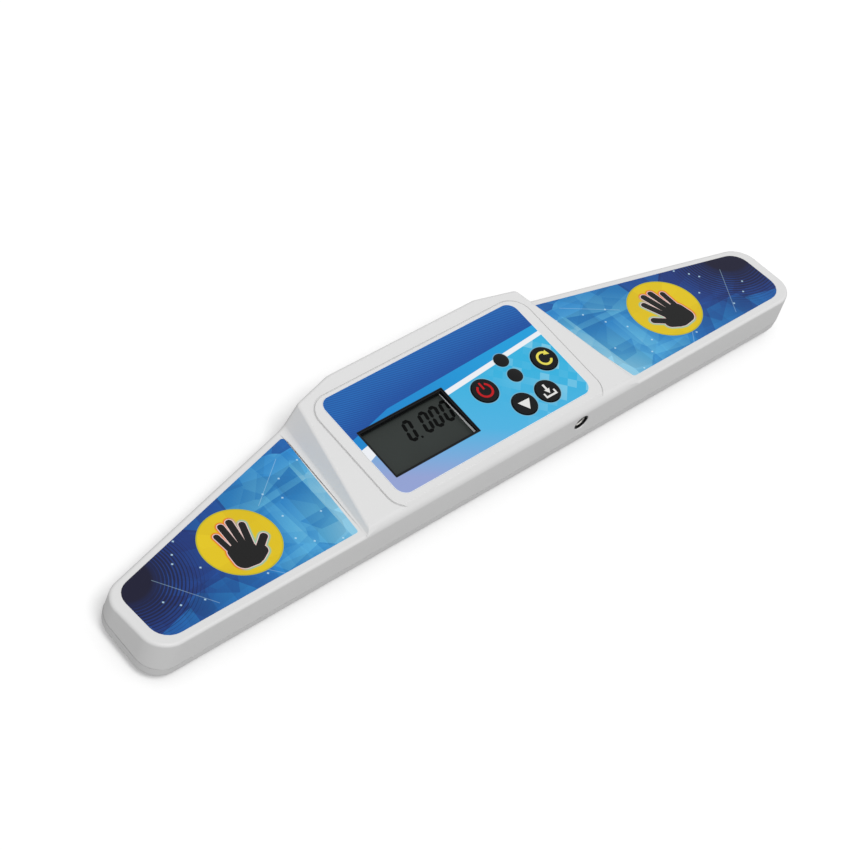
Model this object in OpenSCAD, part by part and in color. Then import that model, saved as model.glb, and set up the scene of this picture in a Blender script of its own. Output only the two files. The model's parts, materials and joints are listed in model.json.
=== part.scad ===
// Two-hand timer: a long low case with a raised middle that holds a display, four keys
// and two lamps, and a sloping wing on each side with a touch pad for a hand.
// Millimetres. The origin is on the floor under the middle of the case, +X points to the
// right tip, +Y to the back and +Z up.

/* [Case] */
// Length over both tips
body_length = 280; // [260:1:320]
// Depth from the front wall to the back of the raised middle
body_depth = 55; // [54:1:62]
// Depth of the square end at each tip
tip_depth = 28; // [26:1:34]
// Length of the straight part of the back edge
back_straight = 64; // [62:1:76]
// Radius of the upright corners at the tips
tip_round = 8.5; // [6:0.5:11]
// Radius of the upright edges where the back edge turns
shoulder_round = 5; // [3:0.5:10]
// Height of the seam between the two shells, above the underside
seam_rise = 5; // [4.6:0.1:6]
// Thickness of the side walls
wall = 2; // [1.6:0.1:2.4]
// Thickness of the roof
roof = 2; // [1.6:0.1:2.4]
// How far the walls lean in from the seam to the roof
draft = 0.6; // [0.2:0.1:1]
// Radius of the top edge of the wings
edge_round = 1.4; // [0.6:0.1:2.2]
// Thickness of the floor of the lower shell
base_floor = 1.6; // [1.5:0.1:2]
// Size of the bevel round the underside
base_bevel = 1.5; // [0.8:0.1:2]
// Height of the locating lip inside the seam
lip_height = 1.3; // [0.8:0.1:2]
// Thickness of the locating lip
lip_thick = 1; // [0.8:0.1:1.4]
// Gap between the locating lip and the wall
lip_gap = 0.15; // [0.1:0.05:0.3]

/* [Wings] */
// Slope of the wings down to the back, in degrees
wing_tilt = 8.4; // [6:0.1:9]
// Height of the wing surface at the front wall, above the underside
wing_rise = 17.3; // [16.8:0.1:17.8]
// Border of the printed pad along the front edge
pad_border_front = 3.7; // [3:0.1:5]
// Border of the printed pad along the tip
pad_border_tip = 4.3; // [3:0.1:6]
// Border of the printed pad along the back edge
pad_border_back = 2.9; // [2.5:0.1:5]
// Gap between the foot of the raised middle and the printed pad
pad_border_root = 1.6; // [1:0.1:4]
// Corner radius of the printed pad at the tip
pad_tip_round = 6.5; // [4:0.5:8]
// Corner radius of the printed pad at its root
pad_root_round = 1; // [0.5:0.1:2]
// Thickness of the printed sheets
sheet_thick = 0.3; // [0.2:0.05:0.5]
// Height of the printed sheets above the surface around them
sheet_proud = 0.1; // [0.05:0.05:0.15]
// Distance from the tip to the centre of each hand mark
mark_from_tip = 46.8; // [42:0.1:50]
// Distance from the front wall to the centre of each hand mark, along the slope
mark_y = 20.9; // [19:0.1:22]

/* [Raised middle] */
// Height of the plateau above the underside
hump_rise = 19; // [18.7:0.1:19.2]
// Half width of the plateau at its back corners
crest_back = 47.6; // [47:0.1:50]
// Half width of the plateau at the front edge
crest_front = 58.8; // [57:0.1:61]
// How far the back corners lie in front of the back edge
crest_set_in = 5; // [4.6:0.1:7]
// Sideways lean of the flanks per unit of height
flank_lean = 0.5; // [0.4:0.05:0.6]
// Radius of the edge round the plateau
crest_round = 2; // [0.8:0.1:2.2]
// Height of the raised frame that carries the face sheet, above the underside
face_rise = 19.5; // [19.3:0.1:19.8]
// Width of that frame round the face sheet
face_margin = 3.2; // [2.5:0.1:3.4]

/* [Face sheet] */
// Width of the face sheet
face_width = 83.4; // [82:0.1:85]
// Depth of the face sheet
face_depth = 41.2; // [40:0.1:42]
// Corner radius of the face sheet
face_round = 4; // [2:0.5:6]
// Distance from the front wall to the front edge of the face sheet
face_front = 5.7; // [5.5:0.1:6.5]

/* [Display] */
// Width of the display window
window_width = 35.6; // [32:0.1:36]
// Depth of the display window
window_depth = 19.2; // [17:0.1:20]
// Centre of the window, left of the middle of the case
window_left = 20.9; // [20.6:0.1:21.2]
// Distance from the front wall to the centre of the window
window_y = 21.8; // [21.5:0.1:22.5]
// Width of the glass outside the window on each side
glass_margin = 2.2; // [1.6:0.1:2.4]
// Width of the contact ledge at the back of the glass
glass_ledge = 3.2; // [2.8:0.1:3.6]
// Thickness of the display cell
cell_thick = 1.6; // [1.4:0.1:1.7]
// Thickness of the reflector behind the cell
reflector_thick = 0.2; // [0.1:0.05:0.3]
// Wall of the frame round the cell
holder_wall = 1; // [0.8:0.1:1.1]
// Width of the dark rim that the frame shows inside the window
rim_width = 0.6; // [0.4:0.1:1]
// How far that rim stops below the face sheet
rim_set_in = 0.3; // [0.2:0.1:0.6]
// Gap round the cell in its frame
holder_gap = 0.1; // [0.05:0.05:0.15]

/* [Keys and lamps] */
// Middle of the key group, right of the middle of the case
keys_x = 22.35; // [22:0.05:22.6]
// Distance from the front wall to the back row of keys
back_row_y = 23.3; // [23:0.1:24]
// Distance from the front wall to the front row of keys
front_row_y = 12.7; // [12.5:0.1:13]
// Half the distance between the two keys of the back row
back_row_spread = 13.35; // [13:0.05:13.6]
// Half the distance between the two keys of the front row
front_row_spread = 5.2; // [5.1:0.05:5.4]
// Radius of the keys of the back row
back_key_r = 4.5; // [4:0.1:4.6]
// Radius of the keys of the front row
front_key_r = 4.2; // [4:0.1:4.3]
// Height of the keys above the face sheet
key_proud = 0.4; // [0.3:0.05:1]
// Bevel round the top of the keys
key_bevel = 0.2; // [0.1:0.05:0.25]
// Travel of the keys
key_travel = 0.4; // [0.2:0.05:0.5]
// Gap round each key in its hole
key_gap = 0.2; // [0.1:0.05:0.25]
// Width of the retaining lip round each key
key_lip = 0.7; // [0.5:0.05:0.75]
// Thickness of the retaining lip
key_lip_thick = 0.8; // [0.6:0.1:0.9]
// Radius of the lamp windows
lamp_r = 2.55; // [2.2:0.05:2.7]
// Distance from the front wall to the front lamp
lamp_y = 23.1; // [22.8:0.1:23.4]
// Distance between the two lamps
lamp_pitch = 6.95; // [6.85:0.05:7.2]
// Width of the retaining lip round each lamp window
lamp_lip = 0.6; // [0.4:0.1:0.7]
// Radius of the lamp bulbs
bulb_r = 1.5; // [1.2:0.1:1.6]
// Width of a key switch
switch_width = 6; // [5:0.1:6.4]
// Height of a key switch
switch_height = 1.1; // [0.9:0.1:1.2]
// Radius of the plunger of a key switch
plunger_r = 1.4; // [1:0.1:1.6]

/* [Board] */
// Gap between the battery bay and the circuit board
board_gap = 0.1; // [0.05:0.05:0.3]
// Thickness of the circuit board
board_thick = 1.2; // [1:0.1:1.3]
// Width of the circuit board outside the jack, and the same on the other side
board_side = 5.5; // [5.2:0.1:6.5]
// Distance from the front wall to the front edge of the board
board_front = 3.5; // [3.2:0.1:3.6]
// Distance from the back of the case to the back edge of the board
board_back = 8; // [7.5:0.1:10]
// Distance of the board screws from the side edges of the board
board_screw_side = 2.8; // [2.7:0.1:3]
// Distance of the board screws from the front and back edges of the board
board_screw_end = 2.3; // [2.2:0.1:2.4]
// Radius of the posts that the board is screwed to
post_r = 2; // [1.8:0.1:2.1]
// Radius of the thread of the board screws
board_screw_r = 0.8; // [0.6:0.1:0.9]
// Radius of the heads of the board screws
board_head_r = 1.6; // [1.4:0.1:1.8]
// Height of the heads of the board screws
board_head_h = 1; // [0.8:0.1:1.2]

/* [Small parts on the board] */
// Width of the controller chip
chip_width = 7; // [5:0.5:8]
// Height of the controller chip
chip_height = 1.4; // [1:0.1:1.6]
// Distance of the chip from the middle of the keys
chip_x = 12; // [11:0.5:13]
// Distance of the chip from the back edge of the board
chip_y = 8.5; // [7:0.5:9]
// Length of the quartz crystal
crystal_length = 8; // [6:0.5:9]
// Width of the quartz crystal
crystal_width = 3.2; // [2.5:0.1:3.6]
// Height of the quartz crystal
crystal_height = 2; // [1.5:0.1:2.4]
// Distance of the crystal from the middle of the keys
crystal_x = 2.5; // [2:0.5:3]
// Radius of the storage capacitor
capacitor_r = 2; // [1.5:0.1:2.4]
// Height of the storage capacitor
capacitor_height = 2.4; // [1.8:0.1:2.6]
// Distance of the capacitor from the middle of the keys
capacitor_x = 6.5; // [6:0.5:7]
// Distance of the crystal and the capacitor from the back edge of the board
small_parts_y = 5; // [4:0.5:6]
// Radius of the buzzer
buzzer_r = 4.5; // [4:0.1:4.8]
// Height of the buzzer
buzzer_height = 2.5; // [2:0.1:2.7]
// Radius of the sound port of the buzzer
buzzer_port_r = 1; // [0.6:0.1:1.4]
// Distance of the buzzer from the middle of the keys
buzzer_x = 14; // [13.5:0.5:14.5]
// Distance of the buzzer from the back edge of the board
buzzer_y = 10; // [9.5:0.5:10.5]

/* [Jack] */
// Centre of the jack, right of the middle of the case
jack_x = 34.6; // [34.4:0.1:35]
// Depth of the axis of the jack below the top face of the board
jack_drop = 2.1; // [1.9:0.1:2.3]
// Radius of the hole for the jack in the front wall
jack_hole_r = 2.95; // [2.9:0.05:3.1]
// Outer radius of the metal sleeve of the jack
sleeve_r = 2.75; // [2.6:0.05:2.8]
// Radius of the bore that takes the plug
plug_bore_r = 1.8; // [1.78:0.01:1.84]
// How far the sleeve stops behind the front wall
sleeve_set_in = 0.6; // [0.4:0.1:0.9]
// Width and height of the jack housing
jack_size = 5.8; // [5.7:0.1:6]
// Length of the jack housing
jack_length = 11.6; // [10:0.1:12]

/* [Battery bay] */
// Diameter of a battery
cell_d = 10.5; // [10.3:0.1:10.5]
// Length of a battery without its tip
cell_l = 43.7; // [43:0.1:44]
// Length of the tip of a battery
tip_l = 0.8; // [0.6:0.1:1]
// Radius of the tip of a battery
tip_r = 1.9; // [1.6:0.1:2]
// Gap between the batteries and the bay
cell_gap = 0.35; // [0.3:0.05:0.4]
// Length left for the contact springs
spring_room = 5.5; // [5:0.1:6]
// Thickness of the walls of the bay
bay_wall = 1.2; // [1:0.1:1.3]
// Thickness of the roof of the bay
bay_roof = 0.6; // [0.5:0.1:0.8]
// Gap between the back wall of the bay and the upper shell
bay_set_in = 0.5; // [0.4:0.1:0.6]
// Thickness of the contact plates
contact_thick = 0.4; // [0.3:0.05:0.5]
// Side of the square contact plates
contact_size = 8.4; // [7:0.1:9]
// Width of the tail that joins a contact to the board
tail_width = 2; // [1.5:0.1:2.5]
// Radius of the spring wire
wire_r = 0.3; // [0.25:0.01:0.35]
// Radius of the wide end of a contact spring
spring_r = 3.2; // [2.5:0.1:3.6]
// Number of turns in a contact spring
spring_turns = 4; // [3:1:5]
// How far the battery door reaches past the bay on each side
door_side = 2; // [1.8:0.1:2.4]
// Width of the tongues along the sides of the door
tongue_width = 1.2; // [0.9:0.1:1.4]
// Thickness of the tongues
tongue_thick = 0.7; // [0.6:0.1:0.8]
// Running gap round the door
door_gap = 0.2; // [0.15:0.05:0.25]
// Thickness of the rails over the tongues
rail_thick = 1.5; // [1.2:0.1:2]
// Number of grip grooves in the door
grip_count = 5; // [3:1:7]
// Distance between the grip grooves
grip_pitch = 1.6; // [1.4:0.1:2]
// Depth of the grip grooves
grip_depth = 0.5; // [0.3:0.1:0.7]
// Length of the grip grooves
grip_length = 16; // [10:1:24]

/* [Touch sensing] */
// Radius of the touch plates under the hand marks
plate_r = 12.6; // [10:0.1:13]
// Thickness of the touch plates
plate_thick = 0.3; // [0.2:0.05:0.4]
// Width of the ribbons from the touch plates to the board
ribbon_width = 5; // [3:0.5:6]
// Thickness of the ribbons
ribbon_thick = 0.3; // [0.2:0.05:0.4]
// Overlap of each ribbon with the board
ribbon_reach = 3; // [2.5:0.5:4]
// Radius of the pin at the board end of each ribbon
pin_r = 0.5; // [0.4:0.05:0.6]

/* [Fasteners and feet] */
// Distance of the tip screws from the tips
tip_screw_x = 18; // [17:0.5:22]
// Distance of the tip screws from the front wall
tip_screw_y = 14; // [13:0.5:15]
// Distance of the inner screws from the middle of the case
inner_screw_x = 64; // [62:0.5:68]
// Distance of the front inner screws from the front wall
inner_front_y = 10; // [9:0.5:11]
// Distance of the back inner screws from the front wall
inner_back_y = 36; // [35:0.5:37]
// Radius of the thread of the case screws
screw_r = 1.1; // [1:0.1:1.2]
// Length of the thread of the case screws
screw_length = 8; // [7:0.5:8.5]
// Radius of the heads of the case screws
head_r = 2; // [1.8:0.1:2.2]
// Height of the heads of the case screws
head_h = 1.4; // [1.2:0.1:1.6]
// Radius of the bosses for the case screws
boss_r = 3; // [2.8:0.1:3.2]
// Clearance of the case screws in the lower shell
screw_gap = 0.2; // [0.1:0.05:0.3]
// Width of the slots of the cross drive
drive_width = 0.5; // [0.4:0.05:0.6]
// Depth of the cross drive
drive_depth = 0.6; // [0.4:0.1:0.8]
// Radius of the feet
foot_r = 4.5; // [4:0.1:5]
// Height of the case above the floor
foot_height = 2; // [1.2:0.1:2.4]
// Depth of the seats of the feet in the lower shell
foot_seat = 0.5; // [0.3:0.1:0.6]
// Distance of the front feet from the tips
front_foot_x = 13; // [12:0.5:16]
// Distance of the front feet from the front wall
front_foot_y = 7.5; // [7:0.5:8]
// Distance of the back feet from the middle of the case
back_foot_x = 44; // [42:0.5:50]
// Distance of the back feet from the front wall
back_foot_y = 44; // [42:0.5:45]

/* [Hidden] */
$fn = 48;
corner_steps = 6;
bevel_step = 15;
thin = 0.01;
over = 1;
fit_gap = 0.02;

front_y = -body_depth / 2;
back_y = body_depth / 2;
tip_x = body_length / 2;
base_z = foot_height;
floor_z = base_z + base_floor;
seam_height = base_z + seam_rise;
wing_front_height = base_z + wing_rise;
hump_height = base_z + hump_rise;
face_height = base_z + face_rise;
ceiling_z = face_height - roof;
sheet_bottom = sheet_proud - sheet_thick;
face_top = face_height + sheet_proud;
key_top = face_top + key_proud;
mark_x = tip_x - mark_from_tip;
root_z = seam_height + edge_round;
lip_in = wall + lip_gap + lip_thick;

// Plan of the case at the seam, from the front left corner round to the back left.
plan = [
    [-tip_x, front_y], [tip_x, front_y], [tip_x, front_y + tip_depth],
    [back_straight / 2, back_y], [-back_straight / 2, back_y], [-tip_x, front_y + tip_depth]
];
plan_rounds = [tip_round, tip_round, tip_round, shoulder_round, shoulder_round, tip_round];

// Face sheet, window, keys and lamps, as places on the plan.
face_centre = [0, front_y + face_front + face_depth / 2];
window_centre = [-window_left, front_y + window_y];
power_at = [keys_x - back_row_spread, front_y + back_row_y];
reset_at = [keys_x + back_row_spread, front_y + back_row_y];
down_at = [keys_x - front_row_spread, front_y + front_row_y];
save_at = [keys_x + front_row_spread, front_y + front_row_y];
front_lamp_at = [keys_x, front_y + lamp_y];
back_lamp_at = [keys_x, front_y + lamp_y + lamp_pitch];
key_bottom = ceiling_z - key_lip_thick - door_gap / 2;

// Display cell.
glass_width = window_width + 2 * glass_margin;
glass_front = window_centre[1] - window_depth / 2 - glass_margin;
glass_back = window_centre[1] + window_depth / 2 + glass_ledge;
cell_bottom = ceiling_z - cell_thick;

// Batteries, and the board that lies over their bay.
cell_z = floor_z + door_gap + cell_gap / 2 + cell_d / 2;
bay_top = cell_z + cell_d / 2 + door_gap / 2;
board_bottom = bay_top + bay_roof + board_gap;
board_top = board_bottom + board_thick;
jack_z = board_top - jack_drop;
jack_front_y = front_y + wall + draft;
jack_back_y = jack_front_y + jack_length;
board_front_y = front_y + board_front;
board_back_y = back_y - board_back;
board_half = jack_x + jack_size / 2 + board_side;
board_screw_places = [
    for (side = [-1, 1], end = [board_front_y + board_screw_end, board_back_y - board_screw_end])
        [side * (board_half - board_screw_side), end]
];

// Battery bay.
bay_half = (cell_l + tip_l + spring_room + 2 * contact_thick) / 2;
bay_back = back_y - wall - draft - bay_set_in - bay_wall;
bay_front = bay_back - 2 * cell_d - 3 * cell_gap;
front_cell_y = bay_front + cell_gap + cell_d / 2;
back_cell_y = bay_back - cell_gap - cell_d / 2;
door_half = bay_half + door_side;
door_front = bay_front - bay_wall / 2;

// Case screws and feet.
case_screw_places = [
    for (side = [-1, 1])
        each [
            [side * (tip_x - tip_screw_x), front_y + tip_screw_y],
            [side * inner_screw_x, front_y + inner_front_y],
            [side * inner_screw_x, front_y + inner_back_y]
        ]
];
head_seat = base_z + head_h + screw_gap;

// ---- Outlines ----

function unit(v) = v / norm(v);

// Normal of an edge, to the left of its direction.
function inward(a, b) = let (d = unit(b - a)) [-d[1], d[0]];

// Moves each edge of a convex outline in by its own distance; edge i runs from point i on.
function inset_each(p, d) = [
    for (i = [0:len(p) - 1])
        let (
            last = (i - 1 + len(p)) % len(p),
            n1 = inward(p[last], p[i]),
            n2 = inward(p[i], p[(i + 1) % len(p)]),
            c = n1 * n2
        )
        p[i] + ((d[last] - d[i] * c) * n1 + (d[i] - d[last] * c) * n2) / (1 - c * c)
];

function inset(p, d) = inset_each(p, [for (i = p) d]);

// Points along the arc that rounds corner b between a and c.
function arc_at(a, b, c, r) =
    let (
        u = unit(a - b),
        v = unit(c - b),
        half = acos(u * v) / 2,
        centre = b + unit(u + v) * r / sin(half),
        from = b + u * r / tan(half) - centre,
        turn = 180 - 2 * half,
        start = atan2(from[1], from[0])
    )
    [
        for (i = [0:corner_steps])
            let (a = start + turn * i / corner_steps)
            centre + r * [cos(a), sin(a)]
    ];

// A convex outline with each corner rounded by its own radius.
function rounded(p, r) = [
    for (i = [0:len(p) - 1])
        each arc_at(p[(i - 1 + len(p)) % len(p)], p[i], p[(i + 1) % len(p)], r[i])
];

function box_outline(w, d) = [[-w / 2, -d / 2], [w / 2, -d / 2], [w / 2, d / 2], [-w / 2, d / 2]];

function round_box(w, d, r) = rounded(box_outline(w, d), [r, r, r, r]);

// Plan of the case, moved in by a distance.
function case_outline(in) = rounded(inset(plan, in), [for (r = plan_rounds) max(r - in, 1)]);

// Plan of the raised middle at a height, moved in by a distance.
function hump_plan(z, in) =
    let (
        grow = flank_lean * (hump_height - z),
        lean = draft * (z - seam_height) / (hump_height - seam_height),
        shape = [
            [-crest_front - grow, front_y + lean], [crest_front + grow, front_y + lean],
            [crest_back + grow, back_y - crest_set_in],
            [back_straight / 2, back_y - lean], [-back_straight / 2, back_y - lean],
            [-crest_back - grow, back_y - crest_set_in]
        ]
    )
    rounded(inset(shape, in), [for (i = shape) max(shoulder_round / 2 - in, 0.4)]);

// Height of the wing surface at a depth.
function wing_z(y) = wing_front_height - tan(wing_tilt) * (y - front_y);

// Plan of a printed pad on the right wing, in the plane of the wing.
function pad_outline() =
    let (
        stretch = 1 / cos(wing_tilt),
        foot_front = crest_front + flank_lean * (hump_height - wing_z(front_y)),
        foot_back = crest_back + flank_lean * (hump_height - wing_z(back_y - crest_set_in)),
        back_slope = (tip_depth - body_depth) / (tip_x - back_straight / 2),
        foot_back_y = body_depth + back_slope * (foot_back - back_straight / 2),
        region = [
            [foot_front, 0], [tip_x, 0],
            [tip_x, tip_depth * stretch], [foot_back, foot_back_y * stretch]
        ]
    )
    rounded(
        inset_each(region, [pad_border_front, pad_border_tip, pad_border_back, pad_border_root]),
        [pad_root_round, pad_tip_round, pad_tip_round, pad_root_round]
    );

// ---- Helpers ----

module slab(z, points, thickness = thin) {
    translate([0, 0, z]) linear_extrude(thickness) polygon(points);
}

// Places children in the plane of the wings, with local y running back from the front wall.
module on_wing() {
    translate([0, front_y, wing_front_height]) rotate([-wing_tilt, 0, 0]) children();
}

// A level slab laid on the slope of the wings, lowered by a distance.
module sloped_slab(points, lowered) {
    multmatrix([[1, 0, 0, 0], [0, 1, 0, 0], [0, -tan(wing_tilt), 1, wing_z(0) - lowered], [0, 0, 0, 1]])
        linear_extrude(thin) polygon(points);
}

module mirrored_copies() {
    children();
    mirror([1, 0, 0]) children();
}

module rod(at, z1, z2, r) {
    translate([at[0], at[1], z1]) cylinder(r = r, h = z2 - z1);
}

module block(low, high) {
    translate(low) cube(high - low);
}

module window_prism(grow, z1, z2) {
    translate([window_centre[0], window_centre[1], z1])
        linear_extrude(z2 - z1)
            polygon(box_outline(window_width + 2 * grow, window_depth + 2 * grow));
}

module key_hole(at, r) {
    rod(at, ceiling_z - over, key_top, r + key_gap);
}

module face_openings() {
    window_prism(0, ceiling_z - over, key_top);
    key_hole(power_at, back_key_r);
    key_hole(reset_at, back_key_r);
    key_hole(down_at, front_key_r);
    key_hole(save_at, front_key_r);
    rod(front_lamp_at, ceiling_z - over, key_top, lamp_r + fit_gap);
    rod(back_lamp_at, ceiling_z - over, key_top, lamp_r + fit_gap);
}

// ---- Shells ----

module wing_body() {
    hull() {
        slab(seam_height, case_outline(0));
        for (a = [0:bevel_step:90])
            sloped_slab(
                case_outline(draft + edge_round * (1 - sin(a))),
                edge_round * (1 - cos(a))
            );
    }
}

module hump_body() {
    hull() {
        slab(root_z, hump_plan(root_z, 0));
        for (a = [0:bevel_step:90])
            slab(
                hump_height - crest_round * (1 - cos(a)) - thin,
                hump_plan(hump_height - crest_round, crest_round * (1 - sin(a)))
            );
    }
}

module case_cavity() {
    hull() {
        slab(seam_height - over, case_outline(wall));
        sloped_slab(case_outline(wall + draft), roof);
    }
    hull() {
        slab(seam_height, hump_plan(seam_height + wall, wall));
        slab(ceiling_z - thin, hump_plan(ceiling_z, wall));
    }
}

module case_bosses() {
    for (at = case_screw_places)
        rod(at, seam_height, wing_z(at[1]) - roof / 2, boss_r);
    for (at = board_screw_places)
        rod(at, board_top, ceiling_z + over / 2, post_r);
}

module top_shell() {
    color("whitesmoke")
        difference() {
            union() {
                difference() {
                    union() {
                        wing_body();
                        hump_body();
                        translate([face_centre[0], face_centre[1], ceiling_z])
                            linear_extrude(face_height - ceiling_z)
                                polygon(round_box(
                                    face_width + 2 * face_margin,
                                    face_depth + 2 * face_margin,
                                    face_round + face_margin
                                ));
                    }
                    case_cavity();
                }
                case_bosses();
            }
            for (at = case_screw_places)
                rod(at, seam_height - over, wing_z(at[1]) - roof, screw_r + fit_gap);
            for (at = board_screw_places)
                rod(at, board_top - over, ceiling_z, board_screw_r + fit_gap);
            face_openings();
            translate([face_centre[0], face_centre[1], face_height + sheet_bottom])
                linear_extrude(sheet_thick)
                    polygon(round_box(face_width, face_depth, face_round));
            mirrored_copies()
                on_wing() translate([0, 0, sheet_bottom]) linear_extrude(sheet_thick) polygon(pad_outline());
            translate([jack_x, front_y - over, jack_z])
                rotate([-90, 0, 0]) cylinder(r = jack_hole_r, h = wall + draft + 2 * over);
        }
}

module lower_hull() {
    hull() {
        slab(base_z, case_outline(base_bevel));
        slab(base_z + base_bevel, case_outline(draft / 3));
        slab(seam_height - thin, case_outline(0));
    }
}

module door_channel() {
    block(
        [-door_half - door_gap, door_front - door_gap, base_z - over],
        [door_half + door_gap, back_y + over, floor_z + door_gap]
    );
    block(
        [-door_half - tongue_width - door_gap, door_front - door_gap, floor_z - tongue_thick - door_gap],
        [door_half + tongue_width + door_gap, back_y + over, floor_z + door_gap]
    );
}

module bay_walls() {
    difference() {
        union() {
            block(
                [-bay_half - bay_wall, bay_front - bay_wall, floor_z + door_gap],
                [bay_half + bay_wall, bay_back + bay_wall, bay_top + bay_roof]
            );
            block(
                [-door_half - tongue_width - bay_wall, bay_front - bay_wall, floor_z + door_gap],
                [door_half + tongue_width + bay_wall, back_y - wall, floor_z + door_gap + rail_thick]
            );
        }
        block([-bay_half, bay_front, base_z], [bay_half, bay_back, bay_top]);
        for (side = [-1, 1], y = [front_cell_y, back_cell_y])
            translate([side * (bay_half - contact_thick / 2), y, bay_top])
                cube([contact_thick + 2 * fit_gap, tail_width + 2 * fit_gap, 2 * over], center = true);
    }
}

module bottom_shell() {
    color("whitesmoke")
        difference() {
            union() {
                difference() {
                    lower_hull();
                    slab(floor_z, case_outline(lip_in), seam_height);
                    door_channel();
                }
                difference() {
                    slab(seam_height - over, case_outline(wall + lip_gap), lip_height + over);
                    slab(floor_z, case_outline(lip_in), seam_height + lip_height);
                }
                for (at = case_screw_places)
                    rod(at, base_z, seam_height, boss_r);
                bay_walls();
            }
            for (at = case_screw_places) {
                rod(at, base_z - over, head_seat, head_r + screw_gap);
                rod(at, base_z - over, seam_height + over, screw_r + screw_gap);
            }
            feet_seats();
        }
}

module feet_seats() {
    mirrored_copies()
        for (at = [[tip_x - front_foot_x, front_y + front_foot_y], [back_foot_x, front_y + back_foot_y]])
            rod(at, base_z - over, base_z + foot_seat, foot_r + fit_gap);
}

module battery_door() {
    color("whitesmoke")
        difference() {
            intersection() {
                lower_hull();
                union() {
                    block([-door_half, door_front, 0], [door_half, back_y + over, floor_z]);
                    block(
                        [-door_half - tongue_width, door_front, floor_z - tongue_thick],
                        [door_half + tongue_width, back_y - wall, floor_z]
                    );
                }
            }
            for (i = [1:grip_count])
                translate([0, back_y - base_bevel - over - i * grip_pitch, base_z])
                    cube([grip_length, grip_pitch / 2, 2 * grip_depth], center = true);
        }
}

// ---- Printed sheets ----

module face_sheet() {
    color("deepskyblue")
        difference() {
            translate([face_centre[0], face_centre[1], face_height + sheet_bottom])
                linear_extrude(sheet_thick)
                    polygon(round_box(face_width, face_depth, face_round));
            face_openings();
        }
}

module pad_sheet() {
    color("royalblue")
        on_wing() translate([0, 0, sheet_bottom]) linear_extrude(sheet_thick) polygon(pad_outline());
}

module left_pad_sheet() {
    mirror([1, 0, 0]) pad_sheet();
}

module right_pad_sheet() {
    pad_sheet();
}

// ---- Display ----

module glass_block(grow, z1, z2) {
    block(
        [window_centre[0] - glass_width / 2 - grow, glass_front - grow, z1],
        [window_centre[0] + glass_width / 2 + grow, glass_back + grow, z2]
    );
}

module display_cell() {
    color("darkslategray") glass_block(0, cell_bottom, ceiling_z);
}

module display_reflector() {
    color("silver") window_prism(glass_margin / 2, cell_bottom - reflector_thick, cell_bottom);
}

module display_holder() {
    color("dimgray")
        difference() {
            glass_block(holder_gap + holder_wall, board_top, ceiling_z);
            glass_block(holder_gap, board_top - over, ceiling_z + over);
        }
}

// Dark rim that stands on the cell and lines the window.
module display_rim() {
    color("black")
        difference() {
            window_prism(-fit_gap, ceiling_z, face_height - rim_set_in);
            window_prism(-rim_width, ceiling_z - over, face_height + over);
        }
}

module contact_strip() {
    color("pink")
        block(
            [window_centre[0] - window_width / 2, glass_back - glass_ledge / 2, board_top],
            [window_centre[0] + window_width / 2, glass_back - glass_ledge / 6, cell_bottom]
        );
}

// ---- Board ----

module main_board() {
    color("seagreen")
        difference() {
            block(
                [-board_half, board_front_y, board_bottom],
                [board_half, board_back_y, board_top]
            );
            for (at = board_screw_places)
                rod(at, board_bottom - over, board_top + over, board_screw_r + screw_gap);
            block(
                [jack_x - jack_size / 2 - fit_gap, board_front_y - over, board_bottom - over],
                [jack_x + jack_size / 2 + fit_gap, jack_back_y + fit_gap, board_top + over]
            );
        }
}

// A part on the board, by the place of its centre and its size.
module on_board(at, size) {
    translate([at[0] - size[0] / 2, at[1] - size[1] / 2, board_top]) cube(size);
}

module controller_chip() {
    color("black")
        on_board([keys_x - chip_x, board_back_y - chip_y], [chip_width, chip_width, chip_height]);
}

module quartz_crystal() {
    color("silver")
        on_board(
            [keys_x - crystal_x, board_back_y - small_parts_y],
            [crystal_length, crystal_width, crystal_height]
        );
}

module storage_capacitor() {
    at = [keys_x + capacitor_x, board_back_y - small_parts_y];
    color("silver") rod(at, board_top, board_top + capacitor_height, capacitor_r);
}

module buzzer() {
    at = [keys_x + buzzer_x, board_back_y - buzzer_y];
    color("black")
        difference() {
            rod(at, board_top, board_top + buzzer_height, buzzer_r);
            rod(at, board_top + buzzer_height / 2, board_top + buzzer_height + over, buzzer_port_r);
        }
}

// ---- Keys and lamps ----

module key(at, r) {
    color("black") {
        rod(at, key_bottom, key_bottom + key_lip_thick, r + key_lip);
        rod(at, key_bottom, key_top - key_bevel, r);
        translate([at[0], at[1], key_top - key_bevel])
            cylinder(r1 = r, r2 = r - key_bevel, h = key_bevel);
    }
}

module power_key() {
    key(power_at, back_key_r);
}

module reset_key() {
    key(reset_at, back_key_r);
}

module down_key() {
    key(down_at, front_key_r);
}

module save_key() {
    key(save_at, front_key_r);
}

module key_switch(at) {
    color("gray")
        difference() {
            on_board(at, [switch_width, switch_width, switch_height]);
            rod(at, board_top - over, key_bottom, plunger_r + screw_gap / 2);
        }
}

module power_switch() {
    key_switch(power_at);
}

module reset_switch() {
    key_switch(reset_at);
}

module down_switch() {
    key_switch(down_at);
}

module save_switch() {
    key_switch(save_at);
}

module plunger(at) {
    color("ivory") rod(at, board_top + key_travel + screw_gap / 2, key_bottom, plunger_r);
}

module power_plunger() {
    plunger(power_at);
}

module reset_plunger() {
    plunger(reset_at);
}

module down_plunger() {
    plunger(down_at);
}

module save_plunger() {
    plunger(save_at);
}

module lamp_window(at) {
    color("black") {
        rod(at, ceiling_z - key_lip_thick, ceiling_z, lamp_r + lamp_lip);
        rod(at, ceiling_z - key_lip_thick, face_top, lamp_r);
    }
}

module front_lamp_window() {
    lamp_window(front_lamp_at);
}

module back_lamp_window() {
    lamp_window(back_lamp_at);
}

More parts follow.
